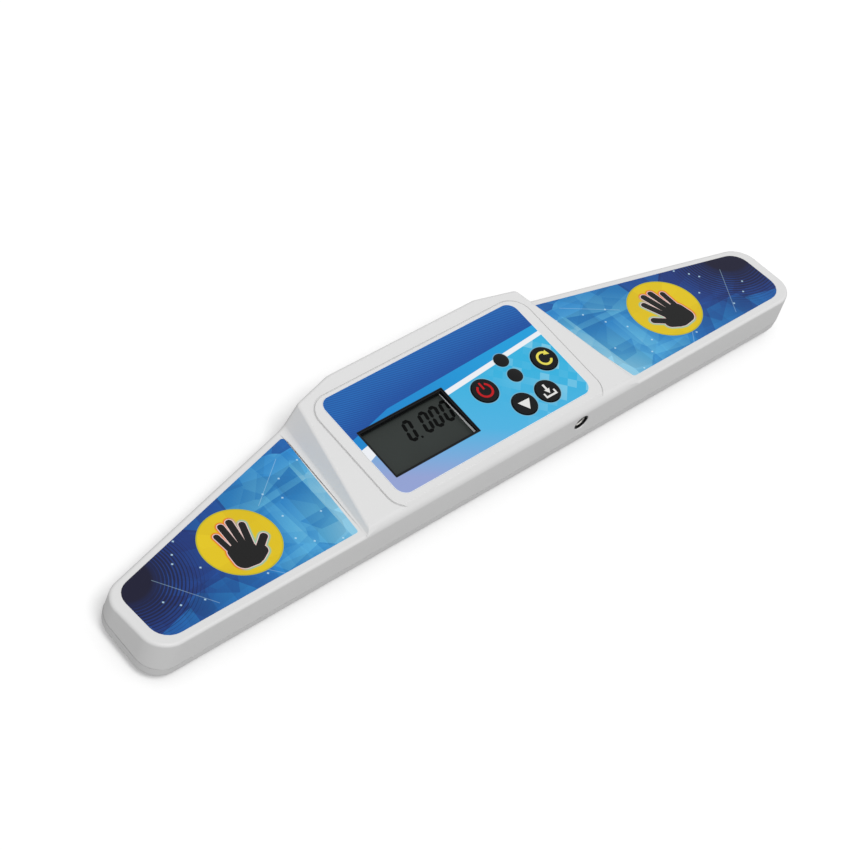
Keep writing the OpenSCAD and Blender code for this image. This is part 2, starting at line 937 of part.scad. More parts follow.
module lamp(at) {
    color("lightgreen") rod(at, board_top, ceiling_z - key_lip_thick - door_gap, bulb_r);
}

module front_lamp() {
    lamp(front_lamp_at);
}

module back_lamp() {
    lamp(back_lamp_at);
}

// ---- Jack ----

module jack_housing() {
    color("black")
        difference() {
            block(
                [jack_x - jack_size / 2, jack_front_y, jack_z - jack_size / 2],
                [jack_x + jack_size / 2, jack_back_y, jack_z + jack_size / 2]
            );
            translate([jack_x, jack_front_y - over, jack_z])
                rotate([-90, 0, 0]) cylinder(r = plug_bore_r, h = jack_length);
        }
}

module jack_sleeve() {
    color("silver")
        translate([jack_x, front_y + draft + sleeve_set_in, jack_z])
            rotate([-90, 0, 0])
                difference() {
                    cylinder(r = sleeve_r, h = wall - sleeve_set_in);
                    translate([0, 0, -over]) cylinder(r = plug_bore_r, h = wall + 2 * over);
                }
}

// ---- Batteries and contacts ----

// A battery with its tip towards +X when side is 1.
module battery(y, side) {
    color("gold")
        translate([-side * (bay_half - contact_thick - spring_room), y, cell_z])
            rotate([0, side * 90, 0]) {
                cylinder(d = cell_d, h = cell_l);
                cylinder(r = tip_r, h = cell_l + tip_l);
            }
}

module front_battery() {
    battery(front_cell_y, 1);
}

module back_battery() {
    battery(back_cell_y, -1);
}

// A square plate against the end wall of the bay, with a tail up to the board.
module contact_plate(y, side) {
    block_x = side > 0 ? bay_half - contact_thick : -bay_half;
    translate([block_x, y - contact_size / 2, cell_z - contact_size / 2])
        cube([contact_thick, contact_size, contact_size]);
    translate([block_x, y - tail_width / 2, cell_z])
        cube([contact_thick, tail_width, board_bottom - cell_z]);
}

// Points of a spring that narrows from its plate to the battery.
function coil_point(t) =
    let (r = spring_r * (1 - 0.5 * t), a = 360 * spring_turns * t)
    [r * cos(a), r * sin(a), wire_r / 2 + t * (spring_room - 2 * wire_r)];

module coil() {
    sides = 6;
    rings = 14 * spring_turns;
    function ring(i) =
        let (
            p = coil_point(i / rings),
            out = unit([p[0], p[1], 0])
        )
        [for (k = [0:sides - 1]) p + wire_r * (cos(k * 360 / sides) * out + [0, 0, sin(k * 360 / sides)])];
    polyhedron(
        points = [for (i = [0:rings]) each ring(i)],
        faces = [
            [for (k = [sides - 1:-1:0]) k],
            [for (k = [0:sides - 1]) rings * sides + k],
            for (i = [0:rings - 1], k = [0:sides - 1])
                each [
                    [i * sides + k, i * sides + (k + 1) % sides, (i + 1) * sides + k],
                    [i * sides + (k + 1) % sides, (i + 1) * sides + (k + 1) % sides, (i + 1) * sides + k]
                ]
        ]
    );
}

module spring_contact(y, side) {
    color("silver") {
        contact_plate(y, side);
        translate([side * (bay_half - contact_thick), y, cell_z])
            rotate([0, -side * 90, 0]) coil();
    }
}

module front_spring_contact() {
    spring_contact(front_cell_y, -1);
}

module back_spring_contact() {
    spring_contact(back_cell_y, 1);
}

module front_plate_contact() {
    color("silver") contact_plate(front_cell_y, 1);
}

module back_plate_contact() {
    color("silver") contact_plate(back_cell_y, -1);
}

// ---- Touch sensing ----

module touch_plate() {
    color("goldenrod")
        on_wing()
            translate([mark_x, mark_y, -roof * cos(wing_tilt) - plate_thick])
                cylinder(r = plate_r, h = plate_thick);
}

// A flat strip from under the touch plate to a pin that rises to the board.
module touch_ribbon() {
    top = -roof * cos(wing_tilt) - plate_thick;
    inner_x = board_half - ribbon_reach;
    color("orange") {
        on_wing()
            translate([inner_x, mark_y - ribbon_width / 2, top - ribbon_thick])
                cube([mark_x - inner_x, ribbon_width, ribbon_thick]);
        rod(
            [inner_x + 2 * pin_r, front_y + mark_y * cos(wing_tilt)],
            wing_front_height - mark_y * sin(wing_tilt) + (top - ribbon_thick / 2) * cos(wing_tilt),
            board_bottom,
            pin_r
        );
    }
}

module left_touch_plate() {
    mirror([1, 0, 0]) touch_plate();
}

module right_touch_plate() {
    touch_plate();
}

module left_touch_ribbon() {
    mirror([1, 0, 0]) touch_ribbon();
}

module right_touch_ribbon() {
    touch_ribbon();
}

// ---- Fasteners and feet ----

// A screw that stands head down, with the underside of its head at seat.
module screw(at, seat, h_r, h_h, t_r, t_l) {
    difference() {
        union() {
            rod(at, seat - h_h, seat, h_r);
            rod(at, seat - thin, seat + t_l, t_r);
        }
        for (a = [0, 90])
            translate([at[0], at[1], seat - h_h])
                rotate([0, 0, a])
                    cube([1.3 * h_r, drive_width, 2 * drive_depth], center = true);
    }
}

module case_screws() {
    color("silver")
        for (at = case_screw_places)
            screw(at, head_seat, head_r, head_h, screw_r, screw_length);
}

module board_screws() {
    length = ceiling_z - board_bottom - screw_gap;
    color("silver")
        for (at = board_screw_places)
            screw(at, board_bottom, board_head_r, board_head_h, board_screw_r, length);
}

module foot(x, y) {
    color("dimgray") rod([x, y], 0, base_z + foot_seat, foot_r);
}

module front_left_foot() {
    foot(front_foot_x - tip_x, front_y + front_foot_y);
}

module front_right_foot() {
    foot(tip_x - front_foot_x, front_y + front_foot_y);
}

module back_left_foot() {
    foot(-back_foot_x, front_y + back_foot_y);
}

module back_right_foot() {
    foot(back_foot_x, front_y + back_foot_y);
}

// ---- Nodes ----

top_shell();
bottom_shell();
battery_door();
face_sheet();
left_pad_sheet();
right_pad_sheet();
display_cell();
display_reflector();
display_holder();
display_rim();
contact_strip();
main_board();
controller_chip();
quartz_crystal();
storage_capacitor();
buzzer();
power_key();
reset_key();
down_key();
save_key();
power_switch();
reset_switch();
down_switch();
save_switch();
power_plunger();
reset_plunger();
down_plunger();
save_plunger();
front_lamp_window();
back_lamp_window();
front_lamp();
back_lamp();
jack_housing();
jack_sleeve();
left_touch_plate();
right_touch_plate();
left_touch_ribbon();
right_touch_ribbon();
front_battery();
back_battery();
front_spring_contact();
back_spring_contact();
front_plate_contact();
back_plate_contact();
case_screws();
board_screws();
front_left_foot();
front_right_foot();
back_left_foot();
back_right_foot();
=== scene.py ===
"""Looks of a two-hand timer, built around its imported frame.

The casing, the printed sheets, the display, the keys and the parts inside are modelled or
dressed here in metres, each in the place that the frame gives it. +X points to the right tip,
+Y to the back and +Z up. The finishes are procedural and read Object coordinates.
"""

import json
import logging
import math
from collections.abc import Callable, Iterator, Sequence
from contextlib import contextmanager
from dataclasses import dataclass
from enum import Enum

import bmesh
import bpy
from mathutils import Matrix, Vector

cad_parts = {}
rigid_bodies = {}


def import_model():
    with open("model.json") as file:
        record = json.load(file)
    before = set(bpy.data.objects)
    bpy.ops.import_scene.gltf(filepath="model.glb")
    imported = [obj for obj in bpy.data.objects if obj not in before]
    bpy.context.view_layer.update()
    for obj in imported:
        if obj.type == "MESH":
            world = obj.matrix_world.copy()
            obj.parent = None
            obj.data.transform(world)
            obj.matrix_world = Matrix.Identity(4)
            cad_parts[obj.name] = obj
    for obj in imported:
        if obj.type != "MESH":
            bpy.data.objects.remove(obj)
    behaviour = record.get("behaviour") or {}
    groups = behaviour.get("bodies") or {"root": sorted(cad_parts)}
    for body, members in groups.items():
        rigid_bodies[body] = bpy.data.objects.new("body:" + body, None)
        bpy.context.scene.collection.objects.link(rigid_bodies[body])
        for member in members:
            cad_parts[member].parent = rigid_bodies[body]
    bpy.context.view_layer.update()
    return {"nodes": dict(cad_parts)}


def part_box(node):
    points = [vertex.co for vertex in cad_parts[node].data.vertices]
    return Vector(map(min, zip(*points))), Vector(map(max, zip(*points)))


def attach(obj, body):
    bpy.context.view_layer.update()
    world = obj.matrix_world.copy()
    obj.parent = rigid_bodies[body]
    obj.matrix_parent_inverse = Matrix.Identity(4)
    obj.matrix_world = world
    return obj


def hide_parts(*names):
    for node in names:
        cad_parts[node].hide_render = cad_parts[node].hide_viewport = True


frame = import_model()

MM = 0.001
LOG = logging.getLogger("timer")
MERGE_DISTANCE = 0.0005 * MM
FINE = 0.0001 * MM
LEVEL_SLACK = 0.01 * MM
SMOOTH_ANGLE = math.radians(32)
FLAT_ANGLE = math.radians(0.2)
ORIGIN = (0.0, 0.0, 0.0)
VECTOR_RESULTS_AS_NUMBERS = ("DOT_PRODUCT", "DISTANCE", "LENGTH")

Obj = bpy.types.Object
Material = bpy.types.Material
Node = bpy.types.Node
Socket = bpy.types.NodeSocket
Edge = bmesh.types.BMEdge
Point = Sequence[float]
Place = tuple[float, float, float]
Colour = str | Point
Value = Socket | float
Profile = list[tuple[float, float]]
EdgeTest = Callable[[Edge], bool]


class Side(Enum):
    """The two wings of the casing, as the sign of their X."""

    LEFT = -1
    RIGHT = 1


class Join(Enum):
    """Ways to combine two closed solids."""

    ADD = "UNION"
    CUT = "DIFFERENCE"


# ---- Bench tools for the meshes ----


def select_only(*objects: Obj) -> None:
    """Selects objects and makes the first one active."""
    bpy.ops.object.select_all(action="DESELECT")
    for obj in objects:
        obj.select_set(True)
    bpy.context.view_layer.objects.active = objects[0]


@contextmanager
def editing(obj: Obj, mode: str = "EDGE", whole: bool = False) -> Iterator[bmesh.types.BMesh]:
    """Opens an object in edit mode, and closes it again.

    Args:
        obj: The object to edit.
        mode: Which elements are selected: VERT, EDGE or FACE.
        whole: Whether everything is selected, and not nothing.

    Yields:
        The mesh in edit mode, for selecting its elements by place or normal.
    """
    select_only(obj)
    bpy.ops.object.mode_set(mode="EDIT")
    bpy.ops.mesh.select_mode(type=mode)
    bpy.ops.mesh.select_all(action="SELECT" if whole else "DESELECT")
    mesh = bmesh.from_edit_mesh(obj.data)
    mesh.normal_update()
    yield mesh
    bpy.ops.object.mode_set(mode="OBJECT")


def apply_modifier(obj: Obj, name: str, kind: str, **settings) -> None:
    """Adds a modifier and applies it.

    Args:
        obj: The object.
        name: The modifier's name.
        kind: Its type.
        **settings: Its own settings.
    """
    modifier = obj.modifiers.new(name, kind)
    for key, value in settings.items():
        setattr(modifier, key, value)
    select_only(obj)
    bpy.ops.object.modifier_apply(modifier=modifier.name)


def settle(obj: Obj, name: str) -> Obj:
    """Names an object and moves its place, turn and size into its mesh.

    Args:
        obj: The object.
        name: Its new name.

    Returns:
        The same object, at the origin.
    """
    select_only(obj)
    bpy.ops.object.transform_apply(location=True, rotation=True, scale=True)
    obj.name = obj.data.name = name
    return obj


def place_by(obj: Obj, matrix: Matrix) -> Obj:
    """Places a settled piece by a matrix, in its mesh."""
    obj.matrix_world = matrix
    return settle(obj, obj.name)


def lift_to(obj: Obj, place: Vector, z: float) -> Obj:
    """Moves a settled piece sideways over a place and up to a height."""
    return place_by(obj, Matrix.Translation((place.x, place.y, z)))


def plane(name: str, size: float, stretch: Point = (1, 1, 1)) -> Obj:
    """A level rectangle round the origin, as a start for shaping.

    Args:
        name: The object's name.
        size: Its side before it is stretched.
        stretch: How it is stretched along each axis.

    Returns:
        The rectangle.
    """
    bpy.ops.object.select_all(action="DESELECT")
    bpy.ops.mesh.primitive_plane_add(size=size, location=ORIGIN)
    obj = bpy.context.object
    obj.scale = stretch
    return settle(obj, name)


def block(name: str, low: Point, high: Point) -> Obj:
    """A box between two corners, as a start for shaping.

    Args:
        name: The object's name.
        low: Lowest corner, in metres.
        high: Highest corner, in metres.

    Returns:
        The box.
    """
    low, high = Vector(low), Vector(high)
    bpy.ops.object.select_all(action="DESELECT")
    bpy.ops.mesh.primitive_cube_add(size=1, location=(low + high) / 2, scale=high - low)
    return settle(bpy.context.object, name)


def drum(centre: Point, radius: float, length: float, axis: str = "Z", sides: int = 72) -> Obj:
    """A round bar, as a post or a drill.

    Args:
        centre: Its middle, in metres.
        radius: Its radius.
        length: Its length along the axis.
        axis: Y or Z.
        sides: Faces round it.

    Returns:
        The bar.
    """
    turn = (math.pi / 2 if axis == "Y" else 0, 0, 0)
    bpy.ops.object.select_all(action="DESELECT")
    bpy.ops.mesh.primitive_cylinder_add(
        vertices=sides, radius=radius, depth=length, location=centre, rotation=turn
    )
    return settle(bpy.context.object, "drum")


def bevel_edges(obj: Obj, test: EdgeTest, width: float, segments: int) -> None:
    """Bevels the edges that pass a test.

    Args:
        obj: The object.
        test: Tells whether an edge is wanted.
        width: Distance from the old edge to each new one.
        segments: Strips across the bevel.
    """
    with editing(obj) as mesh:
        wanted = [edge for edge in mesh.edges if test(edge)]
        for edge in wanted:
            edge.select_set(True)
        if wanted:
            bpy.ops.mesh.bevel(
                offset=width, offset_type="OFFSET", segments=segments, affect="EDGES", clamp_overlap=False
            )
    if not wanted:
        LOG.warning("%s: no edge passed the test for a bevel", obj.name)


def slice_off(obj: Obj, point: Vector, normal: Vector) -> None:
    """Cuts off what lies beyond a plane and closes the cut.

    Args:
        obj: A closed convex object.
        point: A point on the plane.
        normal: The plane's normal, towards what goes.
    """
    with editing(obj, "FACE", whole=True):
        bpy.ops.mesh.bisect(
            plane_co=point, plane_no=normal, use_fill=True, clear_outer=True, threshold=FINE
        )


def combine(target: Obj, tool: Obj, join: Join = Join.CUT) -> None:
    """Cuts a tool out of a target or adds it, and uses the tool up."""
    apply_modifier(target, "combine", "BOOLEAN", operation=join.value, solver="EXACT", object=tool)
    bpy.data.objects.remove(tool)


def clean(obj: Obj, angle: float = FLAT_ANGLE) -> None:
    """Merges doubled points and joins faces that lie in one plane.

    Args:
        obj: The object.
        angle: Largest turn between faces that are joined.
    """
    with editing(obj, "VERT", whole=True):
        bpy.ops.mesh.remove_doubles(threshold=MERGE_DISTANCE)
        bpy.ops.mesh.dissolve_limited(angle_limit=angle)


def smooth(obj: Obj) -> Obj:
    """Shades a piece smooth across its rounded edges and flat elsewhere.

    Args:
        obj: The finished mesh.

    Returns:
        The same object.
    """
    select_only(obj)
    bpy.ops.object.shade_smooth_by_angle(angle=SMOOTH_ANGLE)
    apply_modifier(obj, "even normals", "WEIGHTED_NORMAL", keep_sharp=True)
    return obj


def upright(edge: Edge) -> bool:
    """Tells whether an edge stands up."""
    run = edge.verts[1].co - edge.verts[0].co
    return abs(run.z) > 0.9 * run.length


def level_at(edge: Edge, z: float, slack: float = LEVEL_SLACK) -> bool:
    """Tells whether both ends of an edge lie at a height."""
    return all(abs(v.co.z - z) < slack for v in edge.verts)


def top_edges(z: float, turn: float, slack: float = LEVEL_SLACK / 2) -> EdgeTest:
    """A test for the edges at a height where the surface turns by more than an angle."""
    return lambda edge: level_at(edge, z, slack) and edge.calc_face_angle(0) > turn


def parting_edge(edge: Edge, z: float, lift: int) -> bool:
    """Tells whether an edge is the outer edge of a casing's parting face.

    Args:
        edge: The edge.
        z: The parting face's height.
        lift: 1 where that face looks up and -1 where it looks down.

    Returns:
        Whether it is.
    """
    if not level_at(edge, z) or len(edge.link_faces) != 2:
        return False
    wall, level = sorted(edge.link_faces, key=lambda f: lift * f.normal.z)
    leaves = wall.normal.xy.dot(wall.calc_center_median().xy) > 0
    return lift * level.normal.z > 0.9 and abs(wall.normal.z) < 0.3 and leaves


def rounded_block(name: str, low: Point, high: Point, radius: float, segments: int) -> Obj:
    """A box with round upright edges.

    Args:
        name: The object's name.
        low: Lowest corner.
        high: Highest corner.
        radius: Radius of the upright edges.
        segments: Strips round each of them.

    Returns:
        The box.
    """
    obj = block(name, low, high)
    bevel_edges(obj, upright, radius, segments)
    return obj


def seed(name: str, place: Point) -> Obj:
    """An object with a single point, to draw a line from.

    Args:
        name: The object's name.
        place: Where the point lies.

    Returns:
        The object.
    """
    obj = plane(name, MM)
    with editing(obj, "VERT", whole=True):
        bpy.ops.mesh.merge(type="CENTER")
        bpy.ops.transform.translate(value=place)
    return obj


def draw_and_spin(obj: Obj, runs: Sequence[Point], steps: int, angle: float) -> None:
    """Draws a line from an object's only point, and spins it about the Z axis.

    Args:
        obj: The object.
        runs: The steps from each point of the line to the next.
        steps: Faces round the axis.
        angle: How far it is spun.
    """
    with editing(obj, "VERT", whole=True):
        for run in runs:
            bpy.ops.mesh.extrude_vertices_move(TRANSFORM_OT_translate={"value": run})
        bpy.ops.mesh.select_all(action="SELECT")
        bpy.ops.mesh.spin(steps=steps, angle=angle, center=ORIGIN, axis=(0, 0, 1))


def turned(name: str, profile: Profile, steps: int = 64) -> Obj:
    """A solid turned about the Z axis.

    Args:
        name: The object's name.
        profile: Points as radius and height, from the axis round to the axis.
        steps: Faces round the axis.

    Returns:
        The closed solid, at the origin.
    """
    obj = seed(name, (profile[0][0], 0, profile[0][1]))
    runs = [(end[0] - start[0], 0, end[1] - start[1]) for start, end in zip(profile, profile[1:])]
    draw_and_spin(obj, runs, steps, 2 * math.pi)
    with editing(obj, "VERT", whole=True):
        bpy.ops.mesh.remove_doubles(threshold=MERGE_DISTANCE)
        bpy.ops.mesh.normals_make_consistent(inside=False)
    return obj


def turned_for(node: str, suffix: str, profile: Profile, steps: int) -> Obj:
    """A smooth solid turned about the upright axis of a frame node.

    Args:
        node: The frame node.
        suffix: What its name gets for the new piece.
        profile: Points as radius and height.
        steps: Faces round the axis.

    Returns:
        The solid in the node's place.
    """
    return smooth(lift_to(turned(f"{node}_{suffix}", profile, steps), centre_of(node), 0))


def rounding(radius: float, z: float, width: float, steps: int) -> Profile:
    """Profile points from the wall to the end face round an outer edge.

    Args:
        radius: The wall's radius.
        z: The end face's height.
        width: Radius of the rounding, negative for a lower edge.
        steps: Strips across it.

    Returns:
        The points.
    """
    angles = [math.pi / 2 * step / steps for step in range(steps + 1)]
    reach = abs(width)
    return [(radius - reach + reach * math.cos(a), z - width + width * math.sin(a)) for a in angles]


def thicken(obj: Obj, height: float) -> Obj:
    """Raises a flat outline to a plate.

    Args:
        obj: A flat, level mesh.
        height: The plate's thickness.

    Returns:
        The same object, closed.
    """
    with editing(obj, "FACE", whole=True):
        bpy.ops.mesh.extrude_region_move(TRANSFORM_OT_translate={"value": (0, 0, height)})
        bpy.ops.mesh.select_all(action="SELECT")
        bpy.ops.mesh.normals_make_consistent(inside=False)
    return obj


def copy_of(node: str, name: str) -> Obj:
    """A copy of a frame node's mesh, merged, as a start for finer edges.

    Args:
        node: The frame node.
        name: The new object's name.

    Returns:
        The copy.
    """
    obj = bpy.data.objects.new(name, frame["nodes"][node].data.copy())
    bpy.context.scene.collection.objects.link(obj)
    obj.data.materials.clear()
    if obj.data.has_custom_normals:
        select_only(obj)
        bpy.ops.mesh.customdata_custom_splitnormals_clear()
    clean(obj)
    return obj


def middle_of(low: Vector, high: Vector) -> Vector:
    """Middle between two corners."""
    return (low + high) / 2


def centre_of(node: str) -> Vector:
    """Middle of a frame node's box."""
    return middle_of(*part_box(node))


def radius_of(node: str) -> float:
    """Half of a frame node's width."""
    low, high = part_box(node)
    return (high.x - low.x) / 2


# ---- Node trees ----


def srgb(code: str) -> tuple[float, ...]:
    """A colour written as six hex digits, as the linear values that nodes take."""
    parts = [int(code[i : i + 2], 16) / 255 for i in (0, 2, 4)]
    return tuple(c / 12.92 if c <= 0.04045 else ((c + 0.055) / 1.055) ** 2.4 for c in parts)


class Wiring:
    """Short calls for the nodes that the finishes use."""

    def __init__(self, tree: bpy.types.NodeTree) -> None:
        """Keeps the tree that nodes are added to."""
        self.tree = tree

    def add(self, kind: str, inputs: dict | None = None, **settings) -> Node:
        """Adds a node.

        Args:
            kind: The node's type, without its first word.
            inputs: Values or sockets for its inputs, by name or number.
            **settings: Its own settings.

        Returns:
            The node.
        """
        node = self.tree.nodes.new(f"ShaderNode{kind}")
        for key, value in settings.items():
            setattr(node, key, value)
        self.fill(node, inputs or {})
        return node

    def fill(self, node: Node, inputs: dict) -> None:
        """Feeds a node's inputs, by name or number."""
        for key, value in inputs.items():
            self.feed(node.inputs[key], value)

    def feed(self, socket: Socket, value: Value | Colour) -> None:
        """Sets an input to a number, vector or colour, or links it.

        Args:
            socket: The input.
            value: What goes in, with a colour as six hex digits or as linear values.
        """
        if isinstance(value, bpy.types.NodeSocket):
            self.tree.links.new(value, socket)
        elif isinstance(value, (int, float)):
            socket.default_value = value
        else:
            values = list(srgb(value) if isinstance(value, str) else value)
            if len(values) == 3 and socket.type == "RGBA":
                values.append(1.0)
            socket.default_value = values

    def maths(self, operation: str, *values: Value, clamp: bool = False) -> Socket:
        """Result of a Math node."""
        node = self.add("Math", dict(enumerate(values)), operation=operation, use_clamp=clamp)
        return node.outputs[0]

    def vectors(self, operation: str, *values: Socket | Point) -> Socket:
        """Result of a Vector Math node."""
        node = self.add("VectorMath", dict(enumerate(values)), operation=operation)
        return node.outputs["Value" if operation in VECTOR_RESULTS_AS_NUMBERS else 0]

    def scaled(self, vector: Socket, factor: Value) -> Socket:
        """A vector or colour times a number."""
        return self.add("VectorMath", {0: vector, "Scale": factor}, operation="SCALE").outputs[0]

    def parts(self, vector: Socket) -> bpy.types.NodeOutputs:
        """The three numbers of a vector."""
        return self.add("SeparateXYZ", {0: vector}).outputs

    def mix(self, share: Value, first: Socket | Colour, second: Socket | Colour) -> Socket:
        """A mix of two colours by a share of the second."""
        return self.add("Mix", {0: share, 6: first, 7: second}, data_type="RGBA").outputs[2]

    def ramp(self, value: Socket, stops: dict[float, str], ease: str = "LINEAR") -> Socket:
        """Colours along a value.

        Args:
            value: From 0 to 1.
            stops: Colours by their places.
            ease: How the ramp goes from one to the next.

        Returns:
            The colour.
        """
        node = self.add("ValToRGB", {0: value})
        node.color_ramp.interpolation = ease
        points = node.color_ramp.elements
        while len(points) < len(stops):
            points.new(1.0)
        for point, (position, colour) in zip(points, stops.items()):
            point.position = position
            point.color = (*srgb(colour), 1.0)
        return node.outputs[0]

    def step(self, value: Socket, start: float, end: float) -> Socket:
        """Goes smoothly from 0 at start to 1 at end."""
        limits = {"Value": value, "From Min": start, "From Max": end}
        return self.add("MapRange", limits, interpolation_type="SMOOTHSTEP").outputs["Result"]

    def near(self, value: Socket, level: float, width: float) -> Socket:
        """Goes smoothly from 0 to 1 within a width on each side of a level."""
        return self.step(value, level - width, level + width)

    def noise(self, place: Socket, scale: Value, detail: float) -> Socket:
        """Soft noise from 0 to 1."""
        return self.add("TexNoise", {"Vector": place, "Scale": scale, "Detail": detail}).outputs[0]

    def cells(
        self, place: Socket, scale: Value, randomness: float = 1.0, distance: str = "EUCLIDEAN"
    ) -> bpy.types.NodeOutputs:
        """A mosaic of cells in the plane.

        Args:
            place: Its coordinates.
            scale: Cells to one unit.
            randomness: How uneven the cells are.
            distance: How distances are measured.

        Returns:
            The mosaic's outputs.
        """
        inputs = {"Vector": place, "Scale": scale, "Randomness": randomness}
        return self.add("TexVoronoi", inputs, voronoi_dimensions="2D", distance=distance).outputs

    def mapped(
        self, source: Socket, kind: str, origin: Point = ORIGIN, turn: Point = ORIGIN, size: Point = (1, 1, 1)
    ) -> Socket:
        """Coordinates that are moved, turned and scaled.

        Args:
            source: The coordinates.
            kind: POINT, or TEXTURE to do it the other way round.
            origin: How far they are moved.
            turn: How they are turned, in radians.
            size: How they are scaled.

        Returns:
            The new coordinates.
        """
        inputs = {"Vector": source, "Location": origin, "Rotation": turn, "Scale": size}
        return self.add("Mapping", inputs, vector_type=kind).outputs[0]

    def objects(self) -> Socket:
        """Object coordinates."""
        return self.add("TexCoord").outputs["Object"]

    def in_place(self, origin: Point = ORIGIN, turn: Point = ORIGIN, size: Point = (MM,) * 3) -> Socket:
        """Object coordinates seen from a pattern's own origin, turn and unit, in metres."""
        return self.mapped(self.objects(), "TEXTURE", origin, turn, size)


class Effect:
    """A shader node group that more than one finish uses, built when it is first asked for.

    Its inputs are numbers with a standard value, or vectors where that is None.
    """

    name: str = ""
    inputs: dict[str, float | None] = {}
    outputs: dict[str, str] = {"Distance": "Float"}

    @classmethod
    def tree(cls) -> bpy.types.NodeTree:
        """The group's node tree."""
        found = bpy.data.node_groups.get(cls.name)
        if found:
            return found
        tree = bpy.data.node_groups.new(cls.name, "ShaderNodeTree")
        for label, value in cls.inputs.items():
            kind = "NodeSocketVector" if value is None else "NodeSocketFloat"
            socket = tree.interface.new_socket(label, in_out="INPUT", socket_type=kind)
            if value is not None:
                socket.default_value = value
        for label, kind in cls.outputs.items():
            tree.interface.new_socket(label, in_out="OUTPUT", socket_type=f"NodeSocket{kind}")
        given = tree.nodes.new("NodeGroupInput").outputs
        cls.wire(Wiring(tree), given, tree.nodes.new("NodeGroupOutput").inputs)
        return tree

    @classmethod
    def wire(cls, wiring: Wiring, given: bpy.types.NodeOutputs, result: bpy.types.NodeInputs) -> None:
        """Makes the group's own nodes, from what is given to the result."""
        raise NotImplementedError

    @classmethod
    def use(cls, wiring: Wiring, **values: Value | Point) -> bpy.types.NodeOutputs:
        """Places the group in a material.

        Args:
            wiring: The material's wiring.
            **values: Inputs by name, with _ for a space.

        Returns:
            The group's outputs.
        """
        node = wiring.add("Group", node_tree=cls.tree())
        wiring.fill(node, {label.replace("_", " "): value for label, value in values.items()})
        return node.outputs


class MouldedTexture(Effect):
    """The fine eroded texture of a moulded surface, with slightly uneven gloss."""

    name = "moulded texture"
    inputs = {"Grain Size": 0.3, "Depth": 0.2, "Roughness": 0.45, "Unevenness": 0.06}
    outputs = {"Roughness": "Float", "Normal": "Vector", "Shade": "Float"}

    @classmethod
    def wire(cls, wiring: Wiring, given: bpy.types.NodeOutputs, result: bpy.types.NodeInputs) -> None:
        """Fine noise makes the grain, and coarse noise the patches of gloss and shade."""
        place = wiring.objects()
        grain = wiring.noise(place, wiring.maths("DIVIDE", 1 / MM, given["Grain Size"]), 3.0)
        patches = wiring.noise(place, 0.05 / MM, 2.0)
        spread = wiring.maths("MULTIPLY", wiring.maths("SUBTRACT", patches, 0.5), given["Unevenness"])
        bump = wiring.add("Bump", {"Strength": given["Depth"], "Distance": 0.1 * MM, "Height": grain})
        wiring.feed(result["Roughness"], wiring.maths("ADD", given["Roughness"], spread))
        wiring.feed(result["Normal"], bump.outputs[0])
        wiring.feed(result["Shade"], patches)


class StrokeDistance(Effect):
    """Distance in the plane from a straight stroke with round ends, negative inside it."""

    name = "stroke distance"
    inputs = {"Place": None, "Start": None, "End": None, "Radius": 1.0}

    @classmethod
    def wire(cls, wiring: Wiring, given: bpy.types.NodeOutputs, result: bpy.types.NodeInputs) -> None:
        """The nearest point of the stroke's line is found, and the radius taken off."""
        flat = wiring.vectors("MULTIPLY", given["Place"], (1, 1, 0))
        run = wiring.vectors("SUBTRACT", given["End"], given["Start"])
        away = wiring.vectors("SUBTRACT", flat, given["Start"])
        length = wiring.maths("MAXIMUM", wiring.vectors("DOT_PRODUCT", run, run), 1e-6)
        share = wiring.maths("DIVIDE", wiring.vectors("DOT_PRODUCT", away, run), length, clamp=True)
        distance = wiring.vectors("LENGTH", wiring.vectors("SUBTRACT", away, wiring.scaled(run, share)))
        wiring.feed(result["Distance"], wiring.maths("SUBTRACT", distance, given["Radius"]))


class PanelDistance(Effect):
    """Distance in the plane from a rectangle with round corners, negative inside it."""

    name = "panel distance"
    inputs = {"Place": None, "Centre": None, "Half Size": None, "Corner": 1.0}

    @classmethod
    def wire(cls, wiring: Wiring, given: bpy.types.NodeOutputs, result: bpy.types.NodeInputs) -> None:
        """The rectangle is shrunk by its corner radius, and the radius is taken off again."""
        away = wiring.vectors("SUBTRACT", given["Place"], given["Centre"])
        folded = wiring.vectors("ABSOLUTE", wiring.vectors("MULTIPLY", away, (1, 1, 0)))
        corner = wiring.add("CombineXYZ", {0: given["Corner"], 1: given["Corner"]}).outputs[0]
        beyond = wiring.vectors("SUBTRACT", folded, wiring.vectors("SUBTRACT", given["Half Size"], corner))
        outside = wiring.vectors("LENGTH", wiring.vectors("MAXIMUM", beyond, ORIGIN))
        across, along, _ = wiring.parts(beyond)
        inside = wiring.maths("MINIMUM", wiring.maths("MAXIMUM", across, along), 0.0)
        total = wiring.maths("ADD", outside, inside)
        wiring.feed(result["Distance"], wiring.maths("SUBTRACT", total, given["Corner"]))


